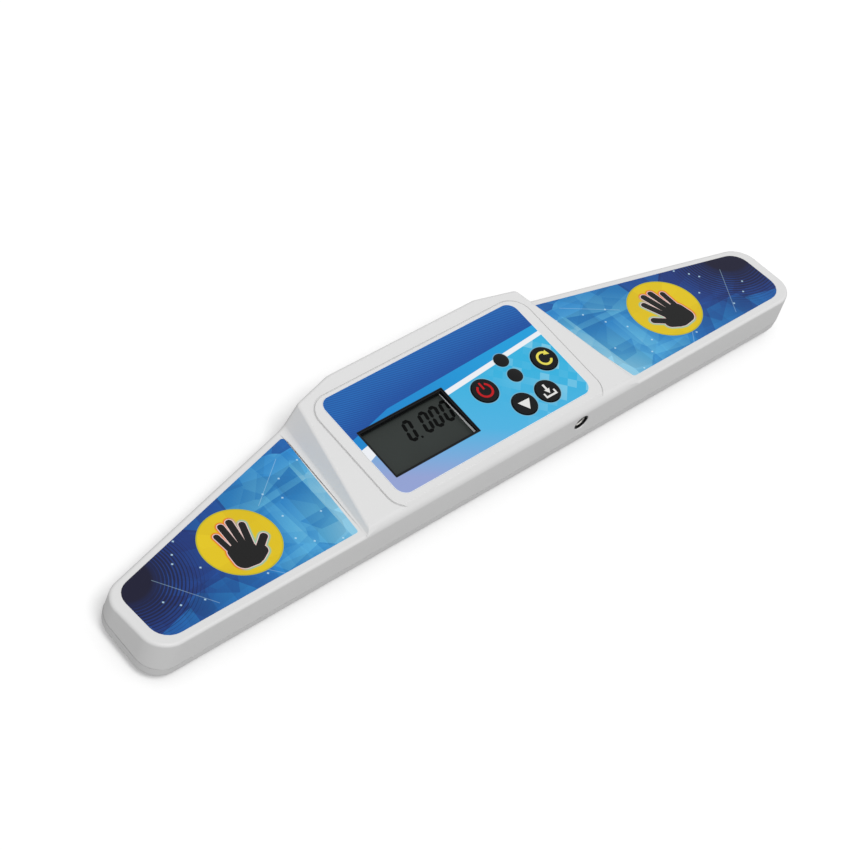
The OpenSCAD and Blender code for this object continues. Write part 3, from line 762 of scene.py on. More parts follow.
class Facets(Effect):
    """Flat crystal facets: a random shade for each cell of a stretched mosaic."""

    name = "facets"
    inputs = {"Place": None, "Cell Size": 12.0}
    outputs = {"Shade": "Float"}

    @classmethod
    def wire(cls, wiring: Wiring, given: bpy.types.NodeOutputs, result: bpy.types.NodeInputs) -> None:
        """Two mosaics at different slants are averaged, so that their edges cross."""
        scale = wiring.maths("DIVIDE", 1.0, given["Cell Size"])
        shades = []
        for turn, stretch in ((0.5, (1.0, 0.55, 1.0)), (-0.7, (0.6, 1.1, 1.0))):
            place = wiring.mapped(given["Place"], "POINT", turn=(0, 0, turn), size=stretch)
            colour = wiring.cells(place, scale)["Color"]
            shades.append(wiring.add("SeparateColor", {0: colour}).outputs[0])
        total = wiring.maths("MULTIPLY", wiring.maths("ADD", *shades), 0.5)
        wiring.feed(result["Shade"], wiring.maths("SUBTRACT", total, 0.5))


# ---- Finishes ----


def new_material(name: str) -> tuple[Material, Wiring, Node]:
    """An empty node material with its shader.

    Args:
        name: The material's name.

    Returns:
        The material, its wiring and its shader node.
    """
    material = bpy.data.materials.new(name)
    material.use_nodes = True
    return material, Wiring(material.node_tree), material.node_tree.nodes["Principled BSDF"]


@dataclass(frozen=True)
class Moulded:
    """A moulded plastic or rubber: one colour with fine grain and slightly uneven gloss."""

    name: str
    colour: str
    roughness: float = 0.45
    grain: float = 0.3
    depth: float = 0.2
    unevenness: float = 0.08
    shading: float = 0.03
    specular: float = 0.5
    coat: float = 0.0

    def material(self) -> Material:
        """The finish as a material."""
        material, wiring, shader = new_material(self.name)
        texture = MouldedTexture.use(
            wiring,
            Grain_Size=self.grain,
            Depth=self.depth,
            Roughness=self.roughness,
            Unevenness=self.unevenness,
        )
        darker = tuple(c * (1 - 2 * self.shading) for c in srgb(self.colour))
        inputs = {
            "Base Color": wiring.mix(texture["Shade"], darker, self.colour),
            "Roughness": texture["Roughness"],
            "Normal": texture["Normal"],
            "Specular IOR Level": self.specular,
            "Coat Weight": self.coat,
            "Coat Roughness": 0.1,
        }
        wiring.fill(shader, inputs)
        return material


@dataclass(frozen=True)
class Metal:
    """A bare metal with fine drawn or pressed marks."""

    name: str
    colour: str
    roughness: float = 0.25
    marks: float = 0.12
    grain: Place = (4 * MM, 0.15 * MM, 0.15 * MM)

    def material(self) -> Material:
        """The finish as a material."""
        material, wiring, shader = new_material(self.name)
        streaks = wiring.noise(wiring.in_place(size=self.grain), 1.0, 2.0)
        darker = tuple(c * 0.8 for c in srgb(self.colour))
        rough = wiring.maths("MULTIPLY_ADD", streaks, self.marks, self.roughness - self.marks / 2)
        colour = wiring.mix(streaks, darker, self.colour)
        wiring.fill(shader, {"Base Color": colour, "Roughness": rough, "Metallic": 1.0})
        return material


def dress_film(wiring: Wiring, shader: Node, colour: Socket) -> None:
    """Gives a print the slight orange peel and even gloss of a laminated film.

    Args:
        wiring: The print's wiring.
        shader: Its shader node.
        colour: What is printed.
    """
    texture = MouldedTexture.use(wiring, Grain_Size=1.4, Depth=0.05, Roughness=0.36, Unevenness=0.1)
    surface = {"Roughness": texture["Roughness"], "Normal": texture["Normal"], "Specular IOR Level": 0.15}
    wiring.fill(shader, {"Base Color": colour, **surface})


@dataclass(frozen=True)
class WingPrint:
    """The printed film of a wing: a crystal pattern in blues with a yellow hand mark.

    Its pattern is drawn in millimetres round the middle of the hand mark, with X towards the
    tip, so that both wings show the same picture mirrored. A stroke is its two ends and radius.
    """

    name: str
    side: Side
    mark: Vector
    tilt: float
    disc: float = 13.2
    light_corner: Place = (-36, -19, 0)
    dark_corner: Place = (38, 8, 0)
    fade: float = 82.0
    rays: tuple = (((-31, 20, 0), (-14, 8, 0)), ((-4, -18, 0), (9, -2, 0)), ((20, -15, 0), (31, 3, 0)))
    hand_turn: float = math.radians(8)
    hand_shift: Place = (0.2, -0.3, 0.0)
    palm_centre: Place = (0.9, -4.7, 0)
    palm_half: Place = (4.7, 4.9, 0)
    palm_corner: float = 3.2
    hand: tuple = (
        ((-2.6, -2.0, 0), (-4.4, 5.9, 0), 1.12),
        ((-0.6, -1.5, 0), (-1.3, 8.3, 0), 1.18),
        ((1.6, -1.5, 0), (1.9, 7.8, 0), 1.14),
        ((3.8, -2.5, 0), (5.1, 5.0, 0), 1.0),
        ((-2.6, -6.0, 0), (-7.9, -0.9, 0), 1.25),
        ((-2.0, -6.9, 0), (-4.2, -5.3, 0), 2.2),
    )

    def ground(self, wiring: Wiring, place: Socket) -> Socket:
        """The blue ground: light at the inner front corner and dark at the tip."""
        sizes = (17.0, 8.0, 12.5)
        wide, small, glint = (Facets.use(wiring, Place=place, Cell_Size=size)[0] for size in sizes)
        shift = wiring.maths("MULTIPLY_ADD", wide, 0.8, wiring.maths("MULTIPLY", small, 0.22))
        far = wiring.maths("DIVIDE", wiring.vectors("DISTANCE", place, self.light_corner), self.fade)
        blues = {0.04: "8CC8E3", 0.2: "56ABD8", 0.35: "2A82C4", 0.52: "1F63A9", 0.72: "1C4890"}
        blues[0.98] = "1B3270"
        ground = wiring.ramp(wiring.maths("ADD", far, shift, clamp=True), blues)
        ground = wiring.scaled(ground, wiring.maths("MULTIPLY_ADD", glint, 0.55, 1.0))
        near = wiring.vectors("DISTANCE", place, self.dark_corner)
        width = wiring.maths("MULTIPLY", wiring.step(near, 27.0, 7.0), 0.9)
        rings = wiring.maths("FRACT", wiring.maths("DIVIDE", near, 1.15))
        arcs = wiring.near(wiring.maths("SUBTRACT", width, rings), 0, 0.03)
        dark = wiring.maths("MAXIMUM", wiring.maths("MULTIPLY", arcs, 0.8), wiring.step(near, 13.0, 8.0))
        return wiring.mix(dark, ground, "15152F")

    def sparks(self, wiring: Wiring, place: Socket, under: Socket) -> Socket:
        """Small pale diamonds and a few thin rays over the ground."""
        stars = wiring.cells(place, 1 / 10.5, 0.9, "MANHATTAN")["Distance"]
        mask = wiring.step(stars, 0.052, 0.03)
        for start, end in self.rays:
            ray = StrokeDistance.use(wiring, Place=place, Start=start, End=end, Radius=0.02)[0]
            mask = wiring.maths("MAXIMUM", mask, wiring.maths("MULTIPLY", wiring.step(ray, 0.16, 0.02), 0.4))
        return wiring.mix(wiring.maths("MULTIPLY", mask, 0.75), under, "BFE4F7")

    def hand_distance(self, wiring: Wiring, place: Socket) -> Socket:
        """Distance from the hand pictogram, negative inside it."""
        own = wiring.mapped(place, "TEXTURE", self.hand_shift, (0, 0, self.hand_turn))
        total = PanelDistance.use(
            wiring, Place=own, Centre=self.palm_centre, Half_Size=self.palm_half, Corner=self.palm_corner
        )[0]
        for start, end, radius in self.hand:
            stroke = StrokeDistance.use(wiring, Place=own, Start=start, End=end, Radius=radius)[0]
            total = wiring.maths("MINIMUM", total, stroke)
        return total

    def material(self) -> Material:
        """The finish as a material."""
        material, wiring, shader = new_material(self.name)
        place = wiring.in_place(self.mark, (-self.tilt, 0, 0), (self.side.value * MM, MM, MM))
        colour = self.sparks(wiring, place, self.ground(wiring, place))
        reach = wiring.vectors("LENGTH", wiring.vectors("MULTIPLY", place, (1, 1, 0)))
        facets = Facets.use(wiring, Place=place, Cell_Size=9.0)[0]
        yellow = wiring.mix(wiring.maths("ADD", facets, 0.5, clamp=True), "D9B91C", "E8CB22")
        drawn = wiring.mix(wiring.step(reach, self.disc - 0.1, self.disc - 0.7), "B9B42A", yellow)
        hand = self.hand_distance(wiring, place)
        across, back, _ = wiring.parts(place)
        slant = wiring.maths("ADD", across, wiring.maths("MULTIPLY", back, 0.6))
        fringe = wiring.mix(wiring.step(slant, -2.0, 3.0), "59C3C0", "E8481F")
        drawn = wiring.mix(wiring.maths("MULTIPLY", wiring.step(hand, 1.15, 0.3), 0.85), drawn, fringe)
        drawn = wiring.mix(wiring.step(hand, 0.36, 0.28), drawn, "E6C9C4")
        drawn = wiring.mix(wiring.step(hand, 0.06, -0.02), drawn, "161616")
        edge = wiring.step(reach, self.disc + 0.05, self.disc - 0.05)
        dress_film(wiring, shader, wiring.mix(edge, colour, drawn))
        return material


@dataclass(frozen=True)
class FacePrint:
    """The printed film of the face: slanted bands in blues over a pale blue field.

    Its pattern is drawn in millimetres round the middle of the sheet. A band's line is its
    height, its slope, and how much more it drops left of the turn.
    """

    name: str
    centre: Vector
    half_size: Vector
    corner: float
    window: tuple[Vector, Vector]
    holes: tuple[tuple[Vector, float], ...]
    border: float = 0.16
    # Width of the painted highlight round each key and lamp hole.
    hole_highlight: float = 0.4
    turn_x: float = -24.0
    royal_line: Place = (8.4, 0.03, 0.2)
    mid_line: Place = (3.9, 0.07, 0.1)
    white_line: Place = (2.0, 0.075, 0.24)
    soft: float = 0.06

    def bands(self, wiring: Wiring, place: Socket) -> Socket:
        """The colours of the ground, without borders."""
        across, back, _ = wiring.parts(place)
        turn = wiring.maths("MAXIMUM", wiring.maths("SUBTRACT", self.turn_x, across), 0.0)

        def above(height: float, slope: float, drop: float) -> Socket:
            """How far a point lies behind a line that drops more steeply at the left."""
            line = wiring.maths("MULTIPLY_ADD", across, slope, height)
            line = wiring.maths("SUBTRACT", line, wiring.maths("MULTIPLY", turn, drop))
            return wiring.maths("SUBTRACT", back, line)

        warm = wiring.maths("MULTIPLY_ADD", back, -0.02, wiring.maths("MULTIPLY_ADD", across, -0.012, -0.25))
        pale = {0.0: "36B2DF", 0.55: "4FB3E2", 0.8: "78ABDC", 1.0: "94A3D4"}
        field = wiring.ramp(wiring.maths("ADD", warm, 0.5, clamp=True), pale)
        tiles = wiring.mapped(place, "POINT", turn=(0, 0, math.radians(45)))
        mosaic = wiring.cells(tiles, 1 / 3.1, 0.0, "CHEBYCHEV")["Color"]
        shade = wiring.add("SeparateColor", {0: mosaic}).outputs[0]
        right = wiring.maths("MULTIPLY", wiring.step(across, 8.0, 40.0), wiring.step(shade, 0.35, 0.95))
        field = wiring.mix(wiring.maths("MULTIPLY", right, 0.5), field, "9FDDF0")

        royal_edge = above(*self.royal_line)
        hatch = wiring.maths("FRACT", wiring.maths("DIVIDE", wiring.maths("ADD", across, back), 1.05))
        thick = wiring.maths("MULTIPLY", wiring.step(royal_edge, -2.0, 12.0), 0.6)
        lines = wiring.near(wiring.maths("SUBTRACT", thick, hatch), 0, self.soft)
        royal = wiring.mix(wiring.maths("MULTIPLY", lines, 0.6), "1B4F9E", "2B7CC6")
        mid = wiring.mix(wiring.step(across, -35.0, 35.0), "1C86CE", "1F9EDB")
        colour = wiring.mix(wiring.near(above(*self.white_line), 0, self.soft), field, "EEF1F6")
        colour = wiring.mix(wiring.near(above(*self.mid_line), 0, self.soft), colour, mid)
        return wiring.mix(wiring.near(royal_edge, 0, self.soft), colour, royal)

    def material(self) -> Material:
        """The finish as a material."""
        material, wiring, shader = new_material(self.name)
        place = wiring.in_place(self.centre)
        colour = self.bands(wiring, place)
        half = self.half_size / MM
        round_by = self.corner / MM
        inside = PanelDistance.use(wiring, Place=place, Centre=ORIGIN, Half_Size=half, Corner=round_by)
        # A thin white line along the sheet's edge: partly the print's margin, partly painted highlight of
        # that edge.
        colour = wiring.mix(wiring.near(inside[0], -self.border, 0.05), colour, "F1F4F6")
        for hole, radius in self.holes:
            spot = (*((hole - self.centre) / MM).xy, 0)
            reach = StrokeDistance.use(wiring, Place=place, Start=spot, End=spot, Radius=radius / MM)[0]
            # A pale ring round each hole is painted highlight, where the rims of the raised keys and lamps
            # catch the light.
            hole_highlight = wiring.step(reach, self.hole_highlight + 0.18, self.hole_highlight - 0.1)
            colour = wiring.mix(wiring.maths("MULTIPLY", hole_highlight, 0.4), colour, "9FB4B4")
            colour = wiring.mix(wiring.step(reach, 0.2, 0.1), colour, "15181C")
        low, high = self.window
        spot, half = (middle_of(low, high) - self.centre) / MM, (high - low) / 2 / MM
        gap = PanelDistance.use(
            wiring, Place=place, Centre=(*spot.xy, 0), Half_Size=(*half.xy, 0), Corner=0.0
        )[0]
        dress_film(wiring, shader, wiring.mix(wiring.step(gap, 0.38, 0.28), colour, "14171C"))
        return material


class Slot(Enum):
    """The record's material slots."""

    CASE = "case_plastic"
    FACE = "face_print"
    PAD = "pad_print"
    DISPLAY = "display_glass"
    FOIL = "reflector_foil"
    BLACK = "black_plastic"
    SMOKED = "smoked_plastic"
    SILICONE = "silicone"
    BOARD = "board_laminate"
    SWITCH = "switch_metal"
    PLUNGER = "plunger_plastic"
    LAMP = "lamp_plastic"
    PLATED = "plated_metal"
    COPPER = "copper_foil"
    RIBBON = "ribbon_film"
    BATTERY = "battery_skin"
    SPRING = "spring_steel"
    SCREW = "screw_steel"
    RUBBER = "foot_rubber"


SIMPLE_FINISHES: dict[Slot, Moulded | Metal] = {
    Slot.CASE: Moulded("white case plastic", "E2E2E2", 0.42, 0.35, 0.12, shading=0.012, specular=0.3),
    Slot.BLACK: Moulded("black plastic", "0F1012", 0.4, 0.3, 0.1, specular=0.12),
    Slot.SMOKED: Moulded("smoked plastic", "0A0B0D", 0.14, 0.6, 0.02, specular=0.16),
    Slot.SILICONE: Moulded("pink silicone", "C98A86", 0.6, 0.5, 0.2),
    Slot.PLUNGER: Moulded("ivory plunger", "E6DFC8", 0.45, 0.3, 0.1),
    Slot.LAMP: Moulded("green lamp epoxy", "5FA66E", 0.15, 0.6, 0.03, coat=0.3),
    Slot.RIBBON: Moulded("amber ribbon film", "B5762A", 0.3, 1.2, 0.08, coat=0.3),
    Slot.RUBBER: Moulded("foot rubber", "2A2A2B", 0.75, 0.25, 0.4, specular=0.3),
    Slot.FOIL: Metal("reflector foil", "C9CCCF", 0.35),
    Slot.SWITCH: Metal("switch steel", "B9BBBD", 0.3),
    Slot.PLATED: Metal("nickel plate", "D2D0CC", 0.2, 0.08),
    Slot.COPPER: Metal("copper foil", "C98A5C", 0.3),
    Slot.SPRING: Metal("spring steel", "BEBFC2", 0.25),
    Slot.SCREW: Metal("zinc screw steel", "A9ABAE", 0.3),
}


class Finishes:
    """All plain finishes, each made once, and the ways to dress pieces in them."""

    def __init__(self) -> None:
        """Makes the plain finishes."""
        self.made = {slot: finish.material() for slot, finish in SIMPLE_FINISHES.items()}

    def __getitem__(self, slot: Slot) -> Material:
        """The material of a slot."""
        return self.made[slot]

    def dress(self, slot: Slot, *nodes: str, material: Material | None = None) -> None:
        """Gives frame nodes that stay a finish.

        Args:
            slot: The slot whose finish they take.
            *nodes: The frame nodes.
            material: Another material for them than the slot's own.
        """
        finish = material or self.made[slot]
        for node in nodes:
            frame["nodes"][node].material_slots[0].material = finish
            LOG.info("%s: dressed in %s", node, finish.name)

    def hand_over(
        self, obj: Obj, slot: Slot, *nodes: str, body: str = "case", material: Material | None = None
    ) -> Obj:
        """Dresses a finished piece and puts it on its body.

        Args:
            obj: The piece, bare or with materials of its own.
            slot: The record's material slot that it takes its finish from.
            *nodes: The frame nodes that it stands for.
            body: The frame body that it moves with.
            material: Another material for it than the slot's own.

        Returns:
            The same object.
        """
        if not obj.data.materials:
            obj.data.materials.append(material or self.made[slot])
        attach(obj, body)
        if nodes:
            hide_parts(*nodes)
        LOG.info("%s: %d faces on %s", obj.name, len(obj.data.polygons), body)
        return obj


# ---- Casing ----


@dataclass(frozen=True)
class CasingForm:
    """The outer form that the two halves of the casing share."""

    tip_x: float = 140 * MM
    front_y: float = -27.5 * MM
    tip_back_y: float = 0.5 * MM
    shoulder_x: float = 32 * MM
    back_y: float = 27.5 * MM
    seam_z: float = 7 * MM
    plateau_z: float = 21 * MM
    lean: float = 0.6 / 14
    wing_z: float = 19.3 * MM
    wing_tilt: float = math.radians(8.4)
    crest_front: Place = (58.8 * MM, -27.5 * MM, 21 * MM)
    crest_back: Place = (47.6 * MM, 22.5 * MM, 21 * MM)
    flank_lean: float = 0.5
    tip_round: float = 8.5 * MM
    tip_back_angle: float = math.radians(104.04)
    shoulder_round: float = 5 * MM
    shoulder_angle: float = math.radians(165.96)
    least_round: float = 1 * MM
    foot_round: float = 3.8 * MM
    foot_reach: float = 62 * MM
    foot_facets: int = 6
    slope_top: tuple[float, float] = (-24.5 * MM, 21.5 * MM)

    def outline(self) -> list[Vector]:
        """Corners of the plan, counter-clockwise from above."""
        right = [(self.tip_x, self.front_y), (self.tip_x, self.tip_back_y), (self.shoulder_x, self.back_y)]
        left = [(-x, y) for x, y in reversed(right)]
        return [Vector((x, y, self.seam_z)) for x, y in right + left]

    def wing_height(self, y: float) -> float:
        """Height of the wings' upper surface."""
        return self.wing_z - math.tan(self.wing_tilt) * (y - self.front_y)

    def front_slope(self) -> tuple[Vector, Vector]:
        """A point and the outward normal of the slope from the front rim up to the frame."""
        rim_y = self.front_y + self.lean * (self.wing_z - self.seam_z)
        rim = Vector((0, rim_y, self.wing_height(rim_y) + 0.02 * MM))
        run = Vector((0, *self.slope_top)) - rim
        return rim, Vector((0, -run.z, run.y)).normalized()

    def wing_normal(self) -> Vector:
        """The wings' upward normal."""
        return Vector((0, math.sin(self.wing_tilt), math.cos(self.wing_tilt)))

    def flank_normal(self, side: Side) -> Vector:
        """Outward normal of the raised middle's flank."""
        run = (Vector(self.crest_back) - Vector(self.crest_front)).normalized()
        normal = Vector((run.y, -run.x, self.flank_lean * run.y)).normalized()
        normal.x *= side.value
        return normal

    def apex(self, side: Side) -> Vector:
        """Where the crest's line meets the plane of the wing, in front of the casing."""
        front, back = Vector(self.crest_front), Vector(self.crest_back)
        rise = front.z - self.wing_z
        y = front.y - rise / math.tan(self.wing_tilt)
        x = front.x + (y - front.y) * (back.x - front.x) / (back.y - front.y)
        return Vector((side.value * x, y, front.z))

    def corner_test(self, x: float, y: float, reach: float) -> EdgeTest:
        """A test for the upright edges at one corner of the plan, on both sides."""

        def test(edge: Edge) -> bool:
            """Tells whether an edge stands at the corner."""
            middle = middle_of(*(v.co for v in edge.verts))
            near = abs(abs(middle.x) - x) < reach and abs(middle.y - y) < reach
            return near and upright(edge)

        return test

    def slab(self, name: str, inset: float, low_z: float, high_z: float) -> Obj:
        """A slab with the casing's plan and leaning walls.

        Args:
            name: The object's name.
            inset: How far its walls stand inside the casing's own.
            low_z: Height of its underside.
            high_z: Height of its top.

        Returns:
            The slab, with its corners rounded.
        """
        reach = self.tip_x + 10 * MM
        obj = block(name, (-reach, -reach, low_z), (reach, reach, high_z))
        corners = self.outline()
        for start, end in zip(corners, corners[1:] + corners[:1]):
            run = (end - start).normalized()
            outward = Vector((run.y, -run.x, 0))
            slice_off(obj, start - outward * inset, Vector((outward.x, outward.y, self.lean)).normalized())
        tip = max(self.tip_round - inset, self.least_round)
        tip_back = tip / math.tan(self.tip_back_angle / 2)
        shoulder = max(self.shoulder_round - inset, self.least_round) / math.tan(self.shoulder_angle / 2)
        for x, y, reach, width, segments in (
            (self.tip_x, self.front_y, 6 * MM, tip, 12),
            (self.tip_x, self.tip_back_y, 6 * MM, tip_back, 10),
            (self.shoulder_x, self.back_y, 4 * MM, shoulder, 3),
        ):
            bevel_edges(obj, self.corner_test(x, y, reach), width, segments)
        return obj

    def wing_cutter(self, side: Side, inset: float) -> Obj:
        """What is taken off a slab above one wing.

        Args:
            side: Which wing.
            inset: How far the cutter reaches below the wing's surface and into the flank.

        Returns:
            The cutter, whose inner lower edge is rounded like a cone that fades to the front.
        """
        up, out = self.wing_normal(), self.flank_normal(side)
        start = self.apex(side)
        along = up.cross(out).normalized()
        if along.y < 0:
            along.negate()
        between = (up + out).normalized()
        spread = math.atan(self.foot_round / (self.foot_reach * math.cos(up.angle(out) / 2)))
        axis = math.cos(spread) * along + math.sin(spread) * between
        flat_up, flat_out = (n - axis * n.dot(axis) for n in (up, out))
        total = flat_up.angle(flat_out)
        if flat_up.cross(flat_out).dot(axis) < 0:
            total = -total
        near, far = sorted((side.value * 20 * MM, side.value * 170 * MM))
        obj = block(f"cutter_{side.name.lower()}", (near, -60 * MM, 0), (far, 60 * MM, 40 * MM))
        for step in range(self.foot_facets + 1):
            share = step / self.foot_facets
            normal = Matrix.Rotation(total * step / self.foot_facets, 3, axis) @ up
            shift = up * inset * (1 - share) + out * inset * share
            slice_off(obj, start - shift, -normal)
        return obj

    def solid(self, name: str, inset: float, low_z: float, top_z: float, sloped: bool = False) -> Obj:
        """The upper casing's outside, or with an inset its hollow.

        Args:
            name: The object's name.
            inset: Wall thickness, or 0 for the outside.
            low_z: Height of the open underside.
            top_z: Height of the raised middle's top.
            sloped: Whether the raised middle slopes down to the front rim.

        Returns:
            The closed solid.
        """
        obj = self.slab(name, inset, low_z, top_z)
        if sloped:
            slice_off(obj, *self.front_slope())
        for side in Side:
            combine(obj, self.wing_cutter(side, inset))
        clean(obj, math.radians(0.5))
        return obj


KEYS = ("power", "reset", "down", "save")
LAMP_WINDOWS = ("front_lamp_window", "back_lamp_window")
KEY_LIP = 0.7 * MM
KEY_PLAY = 0.2 * MM
LAMP_LIP = 0.6 * MM
PRINT_OVERHANG = 0.35
FACE_LEVEL = 21 * MM
WINDOW_LEVELS = (19 * MM, 23 * MM)


def face_holes() -> list[tuple[Vector, float]]:
    """Centres and radii of the round holes in the face, with some play round each key."""
    keys = [(f"{key}_key", KEY_LIP, KEY_PLAY) for key in KEYS]
    lamps = [(node, LAMP_LIP, 0.0) for node in LAMP_WINDOWS]
    places = [(centre_of(node), radius_of(node) - lip + play) for node, lip, play in keys + lamps]
    return [(Vector((centre.x, centre.y, FACE_LEVEL)), radius) for centre, radius in places]


def face_panel() -> tuple[Vector, Vector]:
    """Corners of the printed face sheet, which reaches a little further than the frame's node."""
    low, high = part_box("face_sheet")
    more = Vector((PRINT_OVERHANG, PRINT_OVERHANG, 0)) * MM
    return low - more, high + more


def window_opening() -> tuple[Vector, Vector]:
    """Corners of the display window, through the roof."""
    low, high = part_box("display_rim")
    under, over = WINDOW_LEVELS
    return Vector((low.x, low.y, under)), Vector((high.x, high.y, over))


def pierce_face(obj: Obj, depth: float) -> None:
    """Cuts the round holes and the display window.

    Args:
        obj: The casing or the face sheet.
        depth: Length of the drill for the round holes.
    """
    for centre, radius in face_holes():
        combine(obj, drum(centre, radius, depth, sides=96))
    combine(obj, block("window", *window_opening()))


@dataclass(frozen=True)
class UpperCasing:
    """The upper half: wings, raised middle with its frame, seats, holes and screw posts."""

    form: CasingForm = CasingForm()
    wall: float = 2 * MM
    ceiling_z: float = 19.5 * MM
    crest_width: float = 0.8 * MM
    rim_width: float = 1.15 * MM
    frame_low: Place = (-45.9 * MM, -26.5 * MM, 20.4 * MM)
    frame_high: Place = (45.9 * MM, 20.9 * MM, 21.5 * MM)
    frame_corner: float = 7.2 * MM
    frame_edge: float = 0.25 * MM
    brow_width: float = 0.5 * MM
    groove: float = 0.55 * MM
    groove_z: float = 20.6 * MM
    sheet_gap: float = 0.05 * MM
    seat_corner: float = 4.05 * MM
    post_radius: float = 2 * MM
    post_bore: float = 0.9 * MM
    boss_radius: float = 3 * MM
    boss_bore: float = 1.1 * MM
    board_top: float = 16.475 * MM
    board_posts: tuple[tuple[float, float], ...] = ((40.2, -21.7), (40.2, 17.2))
    case_posts: tuple[tuple[float, float], ...] = ((122, -13.5), (64, -17.5), (64, 8.5))
    jack_hole: float = 2.95 * MM
    jack_break: float = 0.2 * MM
    seam_break: float = 0.3 * MM
    drill: float = 8 * MM

    def crest(self, edge: Edge) -> bool:
        """Tells whether a flank or the front slope meets the plateau at an edge."""
        if not level_at(edge, self.form.plateau_z) or len(edge.link_faces) != 2:
            return False
        return all(face.normal.z > 0.2 for face in edge.link_faces) and edge.calc_face_angle(0) > 0.3

    def brow(self, edge: Edge) -> bool:
        """Tells whether an edge is the front edge of the frame's top, above the slope."""
        front = all(v.co.y < -20 * MM for v in edge.verts) and level_at(edge, self.frame_high[2])
        shallow = 0.5 < edge.calc_face_angle(0) < 1.0
        return front and shallow and min(f.normal.z for f in edge.link_faces) > 0.6

    def rim(self, edge: Edge) -> bool:
        """Tells whether a wall meets what faces up at an edge."""
        lifts = sorted(face.normal.z for face in edge.link_faces)
        return len(lifts) == 2 and -0.2 < lifts[0] < 0.2 and lifts[1] > 0.3

    def outside(self) -> Obj:
        """The outer surface with its crests, rims and the frame round the face sheet."""
        obj = self.form.solid("upper_casing", 0, self.form.seam_z, self.form.plateau_z, sloped=True)
        bevel_edges(obj, self.crest, self.crest_width, 6)
        bevel_edges(obj, self.rim, self.rim_width, 6)
        low, high = Vector(self.frame_low), Vector(self.frame_high)
        reach = Vector((self.groove, self.groove, 0))
        ditch_low = Vector((low.x, low.y, self.groove_z)) - reach
        ditch_high = high + reach + Vector((0, 0, MM))
        combine(obj, rounded_block("ditch", ditch_low, ditch_high, self.frame_corner + self.groove, 12))
        raised = rounded_block("frame", low, high, self.frame_corner, 12)
        slice_off(raised, *self.form.front_slope())
        bevel_edges(raised, self.brow, self.brow_width, 4)
        bevel_edges(raised, top_edges(high.z, 1.2, LEVEL_SLACK), self.frame_edge, 3)
        combine(obj, raised, Join.ADD)
        clean(obj)
        return obj

    def hollow(self, obj: Obj) -> None:
        """Takes the inside out and puts the screw bosses and posts in."""
        seam = self.form.seam_z
        combine(obj, self.form.solid("hollow", self.wall, seam - MM, self.ceiling_z))
        pillars = []
        for x, y in self.case_posts:
            roof = self.form.wing_height(y * MM)
            span, deep = roof - MM - seam, roof - self.wall - seam + MM
            boss = (seam + span / 2, self.boss_radius, span)
            pillars.append((x, y, boss, (seam - MM + deep / 2, self.boss_bore, deep)))
        for x, y in self.board_posts:
            span = self.ceiling_z + 0.5 * MM - self.board_top
            middle = self.board_top + span / 2
            post = (middle, self.post_radius, span)
            pillars.append((x, y, post, (middle - 0.5 * MM, self.post_bore, span)))
        for x, y, solid, bore in pillars:
            for side in Side:
                for (z, radius, length), join in ((solid, Join.ADD), (bore, Join.CUT)):
                    combine(obj, drum((side.value * x * MM, y * MM, z), radius, length), join)

    def openings(self, obj: Obj) -> None:
        """Sinks the seats of the sheets and cuts the window and the round holes."""
        low, high = face_panel()
        gap = Vector((self.sheet_gap, self.sheet_gap, 0))
        combine(obj, rounded_block("seat", low - gap, high + gap + Vector((0, 0, MM)), self.seat_corner, 10))
        for node in ("left_pad_sheet", "right_pad_sheet"):
            combine(obj, copy_of(node, "seat"))
        pierce_face(obj, self.drill)
        jack = centre_of("jack_sleeve")
        combine(obj, drum((jack.x, self.form.front_y, jack.z), self.jack_hole, self.drill, "Y", 96))

    def jack_mouth(self, edge: Edge) -> bool:
        """Tells whether an edge is the outer edge of the jack hole."""
        jack = centre_of("jack_sleeve")
        on_circle = all(
            abs(Vector((v.co.x - jack.x, v.co.z - jack.z)).length - self.jack_hole) < 2 * LEVEL_SLACK
            and v.co.y < self.form.front_y + MM
            for v in edge.verts
        )
        return on_circle and edge.calc_face_angle(0) > 1.0

    def build(self, finishes: Finishes) -> list[Obj]:
        """Builds and dresses the upper half."""
        obj = self.outside()
        self.hollow(obj)
        self.openings(obj)
        bevel_edges(obj, lambda edge: parting_edge(edge, self.form.seam_z, -1), self.seam_break, 2)
        bevel_edges(obj, self.jack_mouth, self.jack_break, 3)
        return [finishes.hand_over(smooth(obj), Slot.CASE, "top_shell")]


@dataclass(frozen=True)
class LowerCasing:
    """The lower half and the battery door: tray with softened base, and its sliding cover."""

    seam_z: float = 7 * MM
    base_z: float = 2 * MM
    base_bevel: float = 1.5 * MM
    softening: float = 0.45 * MM
    seam_break: float = 0.45 * MM

    def base_edge(self, edge: Edge) -> bool:
        """Tells whether an edge belongs to the base's chamfer."""
        level = any(level_at(edge, z) for z in (self.base_z, self.base_z + self.base_bevel))
        return level and 0.3 < edge.calc_face_angle(0) < 1.2 and edge.is_convex

    def build(self, finishes: Finishes) -> list[Obj]:
        """Builds and dresses the lower half and its door."""
        tray, door = copy_of("bottom_shell", "lower_casing"), copy_of("battery_door", "bay_cover")
        bevel_edges(tray, lambda edge: parting_edge(edge, self.seam_z, 1), self.seam_break, 3)
        for obj in (tray, door):
            bevel_edges(obj, self.base_edge, self.softening, 3)
            smooth(obj)
        return [
            finishes.hand_over(tray, Slot.CASE, "bottom_shell"),
            finishes.hand_over(door, Slot.CASE, "battery_door", body="door"),
        ]


# ---- Printed sheets ----


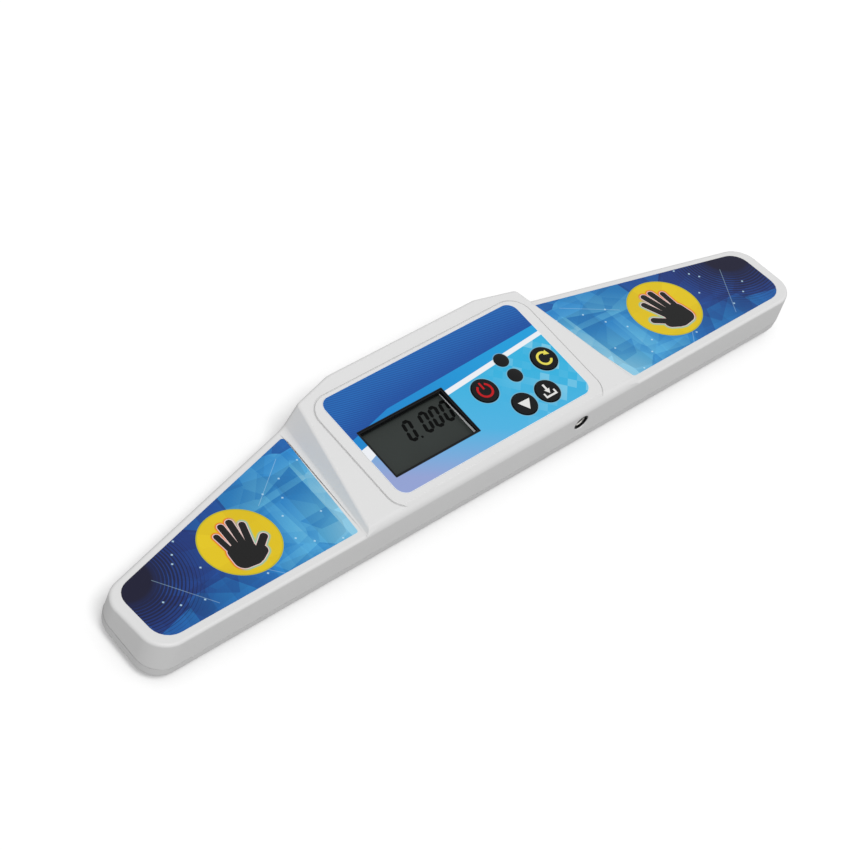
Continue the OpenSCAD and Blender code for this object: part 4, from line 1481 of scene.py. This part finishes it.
@dataclass(frozen=True)
class Sheets:
    """The printed films on the wings and on the face."""

    form: CasingForm = CasingForm()
    mark_x: float = 93.2 * MM
    mark_along: float = 20.9 * MM
    face_corner: float = 4 * MM
    edge: float = 0.06 * MM
    drill: float = 4 * MM

    def wing(self, side: Side, finishes: Finishes) -> Obj:
        """The printed film of one wing."""
        label = side.name.lower()
        node = f"{label}_pad_sheet"
        obj = copy_of(node, f"{label}_hand_sheet")
        up = self.form.wing_normal()

        def upper(edge: Edge) -> bool:
            """Tells whether an edge bounds the film's upper face."""
            facing = len(edge.link_faces) == 2 and max(f.normal.dot(up) for f in edge.link_faces) > 0.99
            return facing and edge.calc_face_angle(0) > 1.0

        bevel_edges(obj, upper, self.edge, 2)
        back, down = self.mark_along * up.z, self.mark_along * up.y
        mark = Vector((side.value * self.mark_x, self.form.front_y + back, self.form.wing_z - down))
        finish = WingPrint(f"{label} wing print", side, mark, self.form.wing_tilt).material()
        return finishes.hand_over(smooth(obj), Slot.PAD, node, material=finish)

    def face(self, finishes: Finishes) -> Obj:
        """The printed film of the face, with its window and holes."""
        low, high = face_panel()
        obj = rounded_block("face_print_sheet", low, high, self.face_corner, 10)
        pierce_face(obj, self.drill)
        bevel_edges(obj, top_edges(high.z, 1.0), self.edge, 2)
        centre, half, holes = middle_of(low, high), (high - low) / 2, tuple(face_holes())
        finish = FacePrint("face print", centre, half, self.face_corner, window_opening(), holes).material()
        return finishes.hand_over(smooth(obj), Slot.FACE, "face_sheet", material=finish)

    def build(self, finishes: Finishes) -> list[Obj]:
        """Builds and dresses the three films."""
        return [self.wing(Side.LEFT, finishes), self.wing(Side.RIGHT, finishes), self.face(finishes)]


# ---- Flat marks, in millimetres ----


def arc(radius: float, width: float, start: float, end: float, steps: int = 48) -> Obj:
    """Part of a flat ring, round the origin.

    Args:
        radius: Middle radius.
        width: Width of the ring.
        start: Angle where it starts, in degrees.
        end: Angle where it ends, in degrees.
        steps: Faces along it.

    Returns:
        The flat ring, facing up.
    """
    first = Matrix.Rotation(math.radians(start), 3, "Z")
    obj = seed("mark", first @ Vector((radius - width / 2, 0, 0)) * MM)
    draw_and_spin(obj, [first @ Vector((width, 0, 0)) * MM], steps, -math.radians(end - start))
    if obj.data.polygons[0].normal.z < 0:
        with editing(obj, "FACE", whole=True):
            bpy.ops.mesh.flip_normals()
    return obj


def bar(start: Point, end: Point, width: float, taper: float = 0.0) -> Obj:
    """A flat bar from one point to another.

    Args:
        start: One end.
        end: The other end.
        width: The bar's width.
        taper: How much of each end's half width is cut to a point, from 0 to 1.

    Returns:
        The flat bar.
    """
    start, end = Vector((*start, 0)) * MM, Vector((*end, 0)) * MM
    run = end - start
    obj = plane("mark", 1, (run.length, width * MM, 1))
    if taper:
        with editing(obj, "VERT", whole=True):
            bpy.ops.mesh.bevel(offset=width * MM * 0.5 * taper, segments=1, affect="VERTICES")
    turn = Matrix.Rotation(math.atan2(run.y, run.x), 4, "Z")
    return place_by(obj, Matrix.Translation(middle_of(start, end)) @ turn)


def wedge(centre: Point, size: float, turn: float, stretch: float = 1.0) -> Obj:
    """A flat triangle.

    Args:
        centre: Its middle.
        size: Distance from the middle to a corner.
        turn: Direction in which it points, in degrees.
        stretch: Width across that direction against an even triangle.

    Returns:
        The flat triangle.
    """
    bpy.ops.object.select_all(action="DESELECT")
    bpy.ops.mesh.primitive_circle_add(
        vertices=3, radius=size * MM, fill_type="NGON", location=ORIGIN, rotation=ORIGIN
    )
    obj = bpy.context.object
    obj.scale = (stretch, 1, 1)
    settle(obj, "mark")
    turned_by = Matrix.Rotation(math.radians(turn - 90), 4, "Z")
    return place_by(obj, Matrix.Translation(Vector((*centre, 0)) * MM) @ turned_by)


# ---- Display ----


@dataclass(frozen=True)
class Glass:
    """The reflective liquid crystal cell: grey-green, with painted shade round its edge where the window's
    walls shade it.
    """

    centre: Vector
    half_size: Vector
    border: float = 0.9

    def material(self) -> Material:
        """The finish as a material."""
        material, wiring, shader = new_material("display cell")
        place, half = wiring.in_place(self.centre), self.half_size / MM
        inside = PanelDistance.use(wiring, Place=place, Centre=ORIGIN, Half_Size=half, Corner=0.3)[0]
        texture = MouldedTexture.use(wiring, Grain_Size=0.5, Depth=0.03, Roughness=0.3, Unevenness=0.08)
        ground = wiring.mix(texture["Shade"], "2C312F", "353A38")
        # The darker band round the edge is painted shade from the window's walls.
        colour = wiring.mix(wiring.near(inside, -self.border, 0.15), ground, "1D201F")
        surface = {"Roughness": texture["Roughness"], "Specular IOR Level": 0.14}
        wiring.fill(shader, {"Base Color": colour, **surface})
        return material


@dataclass(frozen=True)
class LiningWallHighlight:
    """The lining's right wall: black, with a pale strip along its foot that widens to the front as painted
    highlight where the wall catches the light.
    """

    low: Vector
    high: Vector
    back_width: float = 0.25
    front_width: float = 1.0

    def material(self) -> Material:
        """The finish as a material."""
        material, wiring, shader = new_material("pale lining")
        _, back, up = wiring.parts(wiring.in_place(self.low))
        narrowing = (self.back_width - self.front_width) / ((self.high.y - self.low.y) / MM)
        width = wiring.maths("MULTIPLY_ADD", back, narrowing, self.front_width + 0.1)
        # The pale strip is painted highlight where the wall catches the light.
        strip = wiring.near(wiring.maths("SUBTRACT", width, up), 0, 0.03)
        surface = {"Roughness": 0.45, "Specular IOR Level": 0.15}
        wiring.fill(shader, {"Base Color": wiring.mix(strip, "0F1012", "ECEEEF"), **surface})
        return material


@dataclass(frozen=True)
class Display:
    """The display: cell, segment digits in millimetres and the lining of the window."""

    digit_left: tuple[float, ...] = (-22.6, -15.8, -11.4, -6.8)
    digit_back: float = 1.1
    digit_height: float = 8.1
    digit_width: float = 3.75
    slant: float = 1.8
    stroke: float = 1.22
    segment_gap: float = 0.12
    taper: float = 0.85
    point_at: tuple[float, float] = (-19.7, -6.8)
    point_size: float = 0.8
    ink_thick: float = 0.03 * MM
    ink_sink: float = 0.01 * MM
    lining_top: float = 21.42 * MM
    lining_wall: float = 0.6 * MM
    lining_edge: float = 0.12 * MM

    def zero(self, left: float) -> list[Obj]:
        """The six bars of a nought whose back left corner is given."""
        height, half, gap = self.digit_height, self.stroke / 2, self.segment_gap
        front = self.digit_back - height
        low, mid, high = front + half, front + height / 2, front + height - half
        near, far = half, self.digit_width - half
        level = [((near + gap, y), (far - gap, y)) for y in (high, low)]
        halves = ((mid, high), (low, mid))
        standing = [((x, y + gap), (x, top - gap)) for y, top in halves for x in (near, far)]
        bars = []
        for run in level + standing:
            ends = [(left + x + self.slant / height * (y - self.digit_back), y) for x, y in run]
            bars.append(bar(*ends, self.stroke, self.taper))
        return bars

    def digits(self, top: float) -> Obj:
        """The reading of noughts with its point, on the cell."""
        pieces = [piece for left in self.digit_left for piece in self.zero(left)]
        (x, y), half = self.point_at, self.point_size / 2
        pieces.append(bar((x - half, y), (x + half, y), self.point_size, 0.3))
        select_only(*pieces)
        bpy.ops.object.join()
        obj = thicken(settle(bpy.context.object, "display_digits"), self.ink_thick)
        return place_by(obj, Matrix.Translation((0, 0, top - self.ink_sink)))

    def lining(self, finishes: Finishes) -> Obj:
        """The window's lining: dark, with its end wall on the right partly pale as painted highlight."""
        low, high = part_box("display_rim")
        high.z = self.lining_top
        obj = block("window_lining", low, high)
        inset = Vector((self.lining_wall, self.lining_wall, -MM))
        combine(obj, block("opening", low + inset, high - inset))
        bevel_edges(obj, top_edges(high.z, 1.0), self.lining_edge, 2)
        smooth(obj)
        obj.data.materials.append(finishes[Slot.BLACK])
        obj.data.materials.append(LiningWallHighlight(low, high).material())
        for face in obj.data.polygons:
            inner = abs(face.center.x - high.x + self.lining_wall) < 0.05 * MM
            face.material_index = int(inner and face.normal.x < -0.9)
        return finishes.hand_over(obj, Slot.BLACK, "display_rim")

    def build(self, finishes: Finishes) -> list[Obj]:
        """Builds and dresses the display."""
        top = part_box("display_cell")[1].z
        low, high = window_opening()
        middle = middle_of(low, high)
        glass = Glass(Vector((middle.x, middle.y, top)), (high - low) / 2).material()
        finishes.dress(Slot.DISPLAY, "display_cell", material=glass)
        finishes.dress(Slot.FOIL, "display_reflector")
        finishes.dress(Slot.BLACK, "display_holder")
        finishes.dress(Slot.SILICONE, "contact_strip")
        ink = Moulded("display segments", "030404", 0.4, 0.4, 0.02, specular=0.05).material()
        return [finishes.hand_over(self.digits(top), Slot.DISPLAY, material=ink), self.lining(finishes)]


# ---- Keys and lamps ----


@dataclass(frozen=True)
class Keypad:
    """The four round keys with their raised marks."""

    lip_thick: float = 0.8 * MM
    lip_edge: float = 0.1 * MM
    edge: float = 0.22 * MM
    sink: float = 0.04 * MM
    mark_thick: float = 0.1 * MM
    mark_sink: float = 0.006 * MM
    mark_step: float = 0.005 * MM
    reset_tip: float = math.radians(38)

    def cap(self, node: str) -> Obj:
        """The turned cap that replaces a key."""
        low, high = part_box(node)
        wide = radius_of(node)
        radius, bottom, top = wide - KEY_LIP, low.z, high.z - self.sink
        shelf, nick = bottom + self.lip_thick, self.lip_edge
        profile = [
            (0, bottom),
            (wide - nick, bottom),
            (wide, bottom + nick),
            (wide, shelf - nick),
            (wide - nick, shelf),
            (radius, shelf),
            *rounding(radius, top, self.edge, 4),
            (radius * 0.5, top - 0.01 * MM),
            (0, top - 0.015 * MM),
        ]
        return turned_for(node, "cap", profile, 72)

    def mark(self, key: str) -> list[Obj]:
        """The flat pieces of a key's mark, round the key's middle."""
        if key == "power":
            return [arc(2.55, 0.8, 122, 418), bar((0, 0.5), (0, 3.3), 0.75)]
        if key == "reset":
            tip = (2.4 * math.cos(self.reset_tip), 2.4 * math.sin(self.reset_tip))
            return [arc(2.4, 0.85, 44, 332), wedge(tip, 1.25, -48)]
        if key == "down":
            return [wedge((0.25, -0.15), 2.45, -92, 1.15)]
        return [
            bar((0, 0.2), (0, 2.7), 0.8),
            wedge((0, 0.05), 1.2, -90, 1.1),
            bar((-2.1, -2.0), (2.1, -2.0), 0.7),
            bar((-2.1, -2.35), (-2.1, -0.4), 0.65),
            bar((2.1, -2.35), (2.1, -0.4), 0.65),
        ]

    def build(self, finishes: Finishes) -> list[Obj]:
        """Builds and dresses the keys."""
        rubber = Moulded("key rubber", "0E0F12", 0.5, 0.35, 0.2, specular=0.12).material()
        red, yellow, white = (
            Moulded(f"{name} key ink", colour, 0.5, 0.4, 0.05, specular=specular).material()
            for name, colour, specular in (
                ("red", "BE161D", 0.15),
                ("yellow", "E9DD5A", 0.15),
                ("white", "E8E8E6", 0.25),
            )
        )
        pieces = []
        for key, ink in zip(KEYS, (red, yellow, white, white)):
            node, body = f"{key}_key", f"{key}_button"
            top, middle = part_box(node)[1].z, centre_of(node)
            pieces.append(finishes.hand_over(self.cap(node), Slot.BLACK, node, body=body, material=rubber))
            for number, part in enumerate(self.mark(key)):
                thicken(part, self.mark_thick)
                drop = self.mark_thick + self.mark_sink + self.mark_step * number
                lift_to(part, middle, top - drop)
                settle(part, f"{key}_mark_{number + 1}")
                pieces.append(finishes.hand_over(part, Slot.BLACK, body=body, material=ink))
        return pieces


@dataclass(frozen=True)
class LampWindows:
    """The two smoked windows over the lamps."""

    lip_thick: float = 0.8 * MM
    crown: float = 0.12 * MM
    edge: float = 0.15 * MM
    rings: int = 6

    def lens(self, node: str) -> Obj:
        """The turned lens that replaces a window."""
        low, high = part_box(node)
        wide = radius_of(node)
        radius, shelf = wide - LAMP_LIP, low.z + self.lip_thick
        profile = [(0, low.z), (wide, low.z), (wide, shelf), (radius, shelf), (radius, high.z - self.edge)]
        profile.append((radius - 0.05 * MM, high.z - 0.05 * MM))
        for step in range(self.rings + 1):
            share = 1 - step / self.rings
            profile.append(((radius - self.edge) * share, high.z + self.crown * (1 - share * share)))
        return turned_for(node, "lens", profile, 64)

    def build(self, finishes: Finishes) -> list[Obj]:
        """Builds and dresses the lamp windows and the lamps under them."""
        finishes.dress(Slot.LAMP, "front_lamp", "back_lamp")
        return [finishes.hand_over(self.lens(node), Slot.SMOKED, node) for node in LAMP_WINDOWS]


# ---- Jack ----


@dataclass(frozen=True)
class Jack:
    """The socket in the front wall: a turned barrel before its housing."""

    bore: float = 1.8 * MM
    chamfer: float = 0.35 * MM
    lip_radius: float = 2.9 * MM
    lip_wall: float = 0.45 * MM
    lip_reach: float = 0.7 * MM
    edge: float = 0.08 * MM
    metal_reach: float = 0.34 * MM

    def barrel(self) -> Obj:
        """The turned barrel that replaces the sleeve, with a lip that lines the hole in the wall."""
        low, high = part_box("jack_sleeve")
        radius, length, middle = radius_of("jack_sleeve"), high.y - low.y, middle_of(low, high)
        mouth, edge, reach = self.lip_radius - self.lip_wall, self.edge, self.lip_reach
        profile = [
            (self.bore, length),
            (radius, length),
            (radius, 2 * edge),
            (self.lip_radius, 0),
            (self.lip_radius, edge - reach),
            (self.lip_radius - edge, -reach),
            (mouth + edge, -reach),
            (mouth, edge - reach),
            (mouth, 0),
            (self.bore + self.chamfer, 0),
            (self.bore + 0.1 * MM, self.chamfer * 0.6),
            (self.bore, self.chamfer),
            (self.bore, length),
        ]
        turn = Matrix.Rotation(math.radians(-90), 4, "X")
        place = Matrix.Translation((middle.x, low.y, middle.z))
        return smooth(place_by(turned("jack_barrel", profile), place @ turn))

    def build(self, finishes: Finishes) -> list[Obj]:
        """Builds the jack and dresses it: black as painted shade for the inside of the hole, with its bore
        and its mouth's edge bare metal.
        """
        finishes.dress(Slot.BLACK, "jack_housing")
        barrel, middle = self.barrel(), centre_of("jack_sleeve")
        barrel.data.materials.append(finishes[Slot.PLATED])
        barrel.data.materials.append(finishes[Slot.BLACK])
        # The black faces outside the bore are painted shade for the inside of the hole.
        for face in barrel.data.polygons:
            away = Vector((face.center.x - middle.x, face.center.z - middle.z)).length
            face.material_index = int(away > self.bore + self.metal_reach)
        return [finishes.hand_over(barrel, Slot.PLATED, "jack_sleeve")]


# ---- Inside ----


def laminate() -> Material:
    """A circuit board's finish: green solder mask with fine tracks under it."""
    material, wiring, shader = new_material("green board laminate")
    place = wiring.in_place()
    sizes = {"Scale": 1.0, "Mortar Size": 0.12, "Brick Width": 5.0, "Row Height": 1.3}
    tracks = wiring.add("TexBrick", {"Vector": place, **sizes}).outputs["Fac"]
    dots = wiring.step(wiring.cells(place, 1 / 4.5)["Distance"], 0.12, 0.1)
    colour = wiring.mix(dots, wiring.mix(tracks, "12653C", "2B8455"), "C9B27A")
    bump = wiring.add("Bump", {"Strength": 0.3, "Distance": 0.03 * MM, "Height": tracks}).outputs[0]
    wiring.fill(shader, {"Base Color": colour, "Roughness": 0.35, "Coat Weight": 0.3, "Normal": bump})
    return material


def battery_skin(node: str) -> Material:
    """A battery's printed sleeve between bare metal ends, with no lettering."""
    material, wiring, shader = new_material(f"{node} skin")
    place = wiring.in_place(centre_of(node), size=(2 * radius_of(node),) * 3)
    along = wiring.maths("ADD", wiring.parts(place)[0], 0.5)
    skin = {0.0: "B8B8B8", 0.02: "2D3138", 0.6: "2D3138", 0.61: "C87A28", 0.965: "C9CCCF"}
    bare = {0.0: "FFFFFF", 0.02: "000000", 0.965: "FFFFFF"}
    colour, ends = (wiring.ramp(along, stops, "CONSTANT") for stops in (skin, bare))
    texture = MouldedTexture.use(wiring, Grain_Size=1.0, Depth=0.03, Roughness=0.28, Unevenness=0.1)
    wiring.fill(shader, {"Base Color": colour, "Metallic": ends, "Roughness": texture["Roughness"]})
    return material


@dataclass(frozen=True)
class Insides:
    """What is under the roof: board, switches, batteries, contacts and sensing plates."""

    plain: tuple[tuple[Slot, tuple[str, ...]], ...] = (
        (Slot.BLACK, ("controller_chip", "storage_capacitor", "buzzer")),
        (Slot.PLATED, ("quartz_crystal",)),
        (Slot.SWITCH, tuple(f"{key}_switch" for key in KEYS)),
        (Slot.PLUNGER, tuple(f"{key}_plunger" for key in KEYS)),
        (Slot.COPPER, ("left_touch_plate", "right_touch_plate")),
        (Slot.RIBBON, ("left_touch_ribbon", "right_touch_ribbon")),
        (Slot.SPRING, ("front_spring_contact", "back_spring_contact")),
        (Slot.SPRING, ("front_plate_contact", "back_plate_contact")),
        (Slot.SCREW, ("case_screws", "board_screws")),
    )

    def build(self, finishes: Finishes) -> list[Obj]:
        """Dresses the inner nodes."""
        finishes.dress(Slot.BOARD, "main_board", material=laminate())
        for slot, nodes in self.plain:
            finishes.dress(slot, *nodes)
        for node in ("front_battery", "back_battery"):
            finishes.dress(Slot.BATTERY, node, material=battery_skin(node))
        return []


@dataclass(frozen=True)
class Feet:
    """The four rubber feet, each with a shallow round hollow underneath."""

    nodes: tuple[str, ...] = ("front_left_foot", "front_right_foot", "back_left_foot", "back_right_foot")
    edge: float = 0.5 * MM
    hollow: float = 0.25 * MM

    def foot(self, node: str) -> Obj:
        """The turned foot that replaces a node."""
        low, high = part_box(node)
        radius, roof = radius_of(node), low.z + self.hollow
        profile = [(0, high.z), (radius, high.z), *rounding(radius, low.z, -self.edge, 5)]
        profile += [(radius * 0.62, low.z), (radius * 0.55, roof), (0, roof)]
        return turned_for(node, "pad", profile, 48)

    def build(self, finishes: Finishes) -> list[Obj]:
        """Builds and dresses the feet."""
        return [finishes.hand_over(self.foot(node), Slot.RUBBER, node) for node in self.nodes]


# ---- Studio ----


@dataclass(frozen=True)
class Studio:
    """Camera at the photograph's view, soft daylight and a white floor that keeps the shadow."""

    eye: Place = (-476.93 * MM, -282.53 * MM, 649.1 * MM)
    forward: Place = (0.55633, 0.3365, -0.75978)
    roll: float = math.radians(22.868)
    lens: float = 111.92
    sensor: float = 36.0
    clip: tuple[float, float] = (0.01, 20.0)
    sun_from: Place = (-0.14, -0.38, 1.0)
    sun_strength: float = 1.3
    sun_angle: float = math.radians(22)
    ambient: float = 0.6
    floor_size: float = 6.0
    floor_glow: float = 0.215
    floor_bounce: float = 0.4

    def add(self, name: str, data: bpy.types.ID) -> Obj:
        """Puts a camera or a light into the scene.

        Args:
            name: The object's name.
            data: The camera or the light.

        Returns:
            The object.
        """
        obj = bpy.data.objects.new(name, data)
        bpy.context.scene.collection.objects.link(obj)
        return obj

    def camera(self) -> None:
        """The camera at the fitted place and turn."""
        forward = Vector(self.forward).normalized()
        level = forward.cross(Vector((0, 0, 1))).normalized()
        steep = level.cross(forward)
        right = level * math.cos(self.roll) + steep * math.sin(self.roll)
        up = steep * math.cos(self.roll) - level * math.sin(self.roll)
        data = bpy.data.cameras.new("camera")
        data.lens, data.sensor_width = self.lens, self.sensor
        data.clip_start, data.clip_end = self.clip
        camera = self.add("camera", data)
        turn = Matrix((right, up, -forward)).transposed().to_4x4()
        camera.matrix_world = Matrix.Translation(self.eye) @ turn
        bpy.context.scene.camera = camera

    def sun(self) -> None:
        """The soft main light."""
        data = bpy.data.lights.new("window light", "SUN")
        data.energy, data.angle = self.sun_strength, self.sun_angle
        lamp = self.add("window light", data)
        lamp.rotation_mode = "QUATERNION"
        lamp.rotation_quaternion = Vector(self.sun_from).to_track_quat("Z", "Y")

    def sky(self) -> None:
        """White to the camera, to mirrors and through glass, and a plain level otherwise."""
        world = bpy.data.worlds.new("studio")
        world.use_nodes = True
        bpy.context.scene.world = world
        wiring = Wiring(world.node_tree)
        rays = wiring.add("LightPath").outputs
        mirrored = wiring.maths("MAXIMUM", rays["Is Glossy Ray"], rays["Is Transmission Ray"])
        seen = wiring.maths("MAXIMUM", rays["Is Camera Ray"], mirrored)
        strength = wiring.maths("MULTIPLY_ADD", seen, 1 - self.ambient, self.ambient)
        wiring.fill(world.node_tree.nodes["Background"], {"Color": (1, 1, 1, 1), "Strength": strength})

    def floor(self) -> None:
        """The white floor, bright enough to reach white where no shadow falls."""
        obj = plane("floor", self.floor_size)
        with editing(obj, "FACE", whole=True):
            bpy.ops.mesh.subdivide(number_cuts=4)
        material, wiring, shader = new_material("floor paper")
        grain = wiring.noise(wiring.objects(), 40.0, 2.0)
        camera_ray = wiring.add("LightPath").outputs["Is Camera Ray"]
        seen = wiring.mix(grain, (0.84,) * 3, (0.86,) * 3)
        inputs = {
            "Base Color": wiring.mix(camera_ray, (self.floor_bounce,) * 3, seen),
            "Roughness": 1.0,
            "Specular IOR Level": 0.0,
            "Emission Color": (1, 1, 1, 1),
            "Emission Strength": wiring.maths("MULTIPLY", camera_ray, self.floor_glow),
        }
        wiring.fill(shader, inputs)
        obj.data.materials.append(material)

    def build(self) -> None:
        """Sets up the studio."""
        self.camera()
        self.sun()
        self.sky()
        self.floor()
        bpy.context.scene.view_settings.view_transform = "Standard"


def main() -> None:
    """Builds the timer's looks and its studio."""
    logging.basicConfig(level=logging.INFO, format="%(name)s: %(message)s")
    Studio().build()
    finishes = Finishes()
    assemblies = (UpperCasing, LowerCasing, Sheets, Display, Keypad, LampWindows, Jack, Insides, Feet)
    for assembly in assemblies:
        pieces = assembly().build(finishes)
        LOG.info("%s: %d pieces", assembly.__name__, len(pieces))


if __name__ == "__main__":
    main()
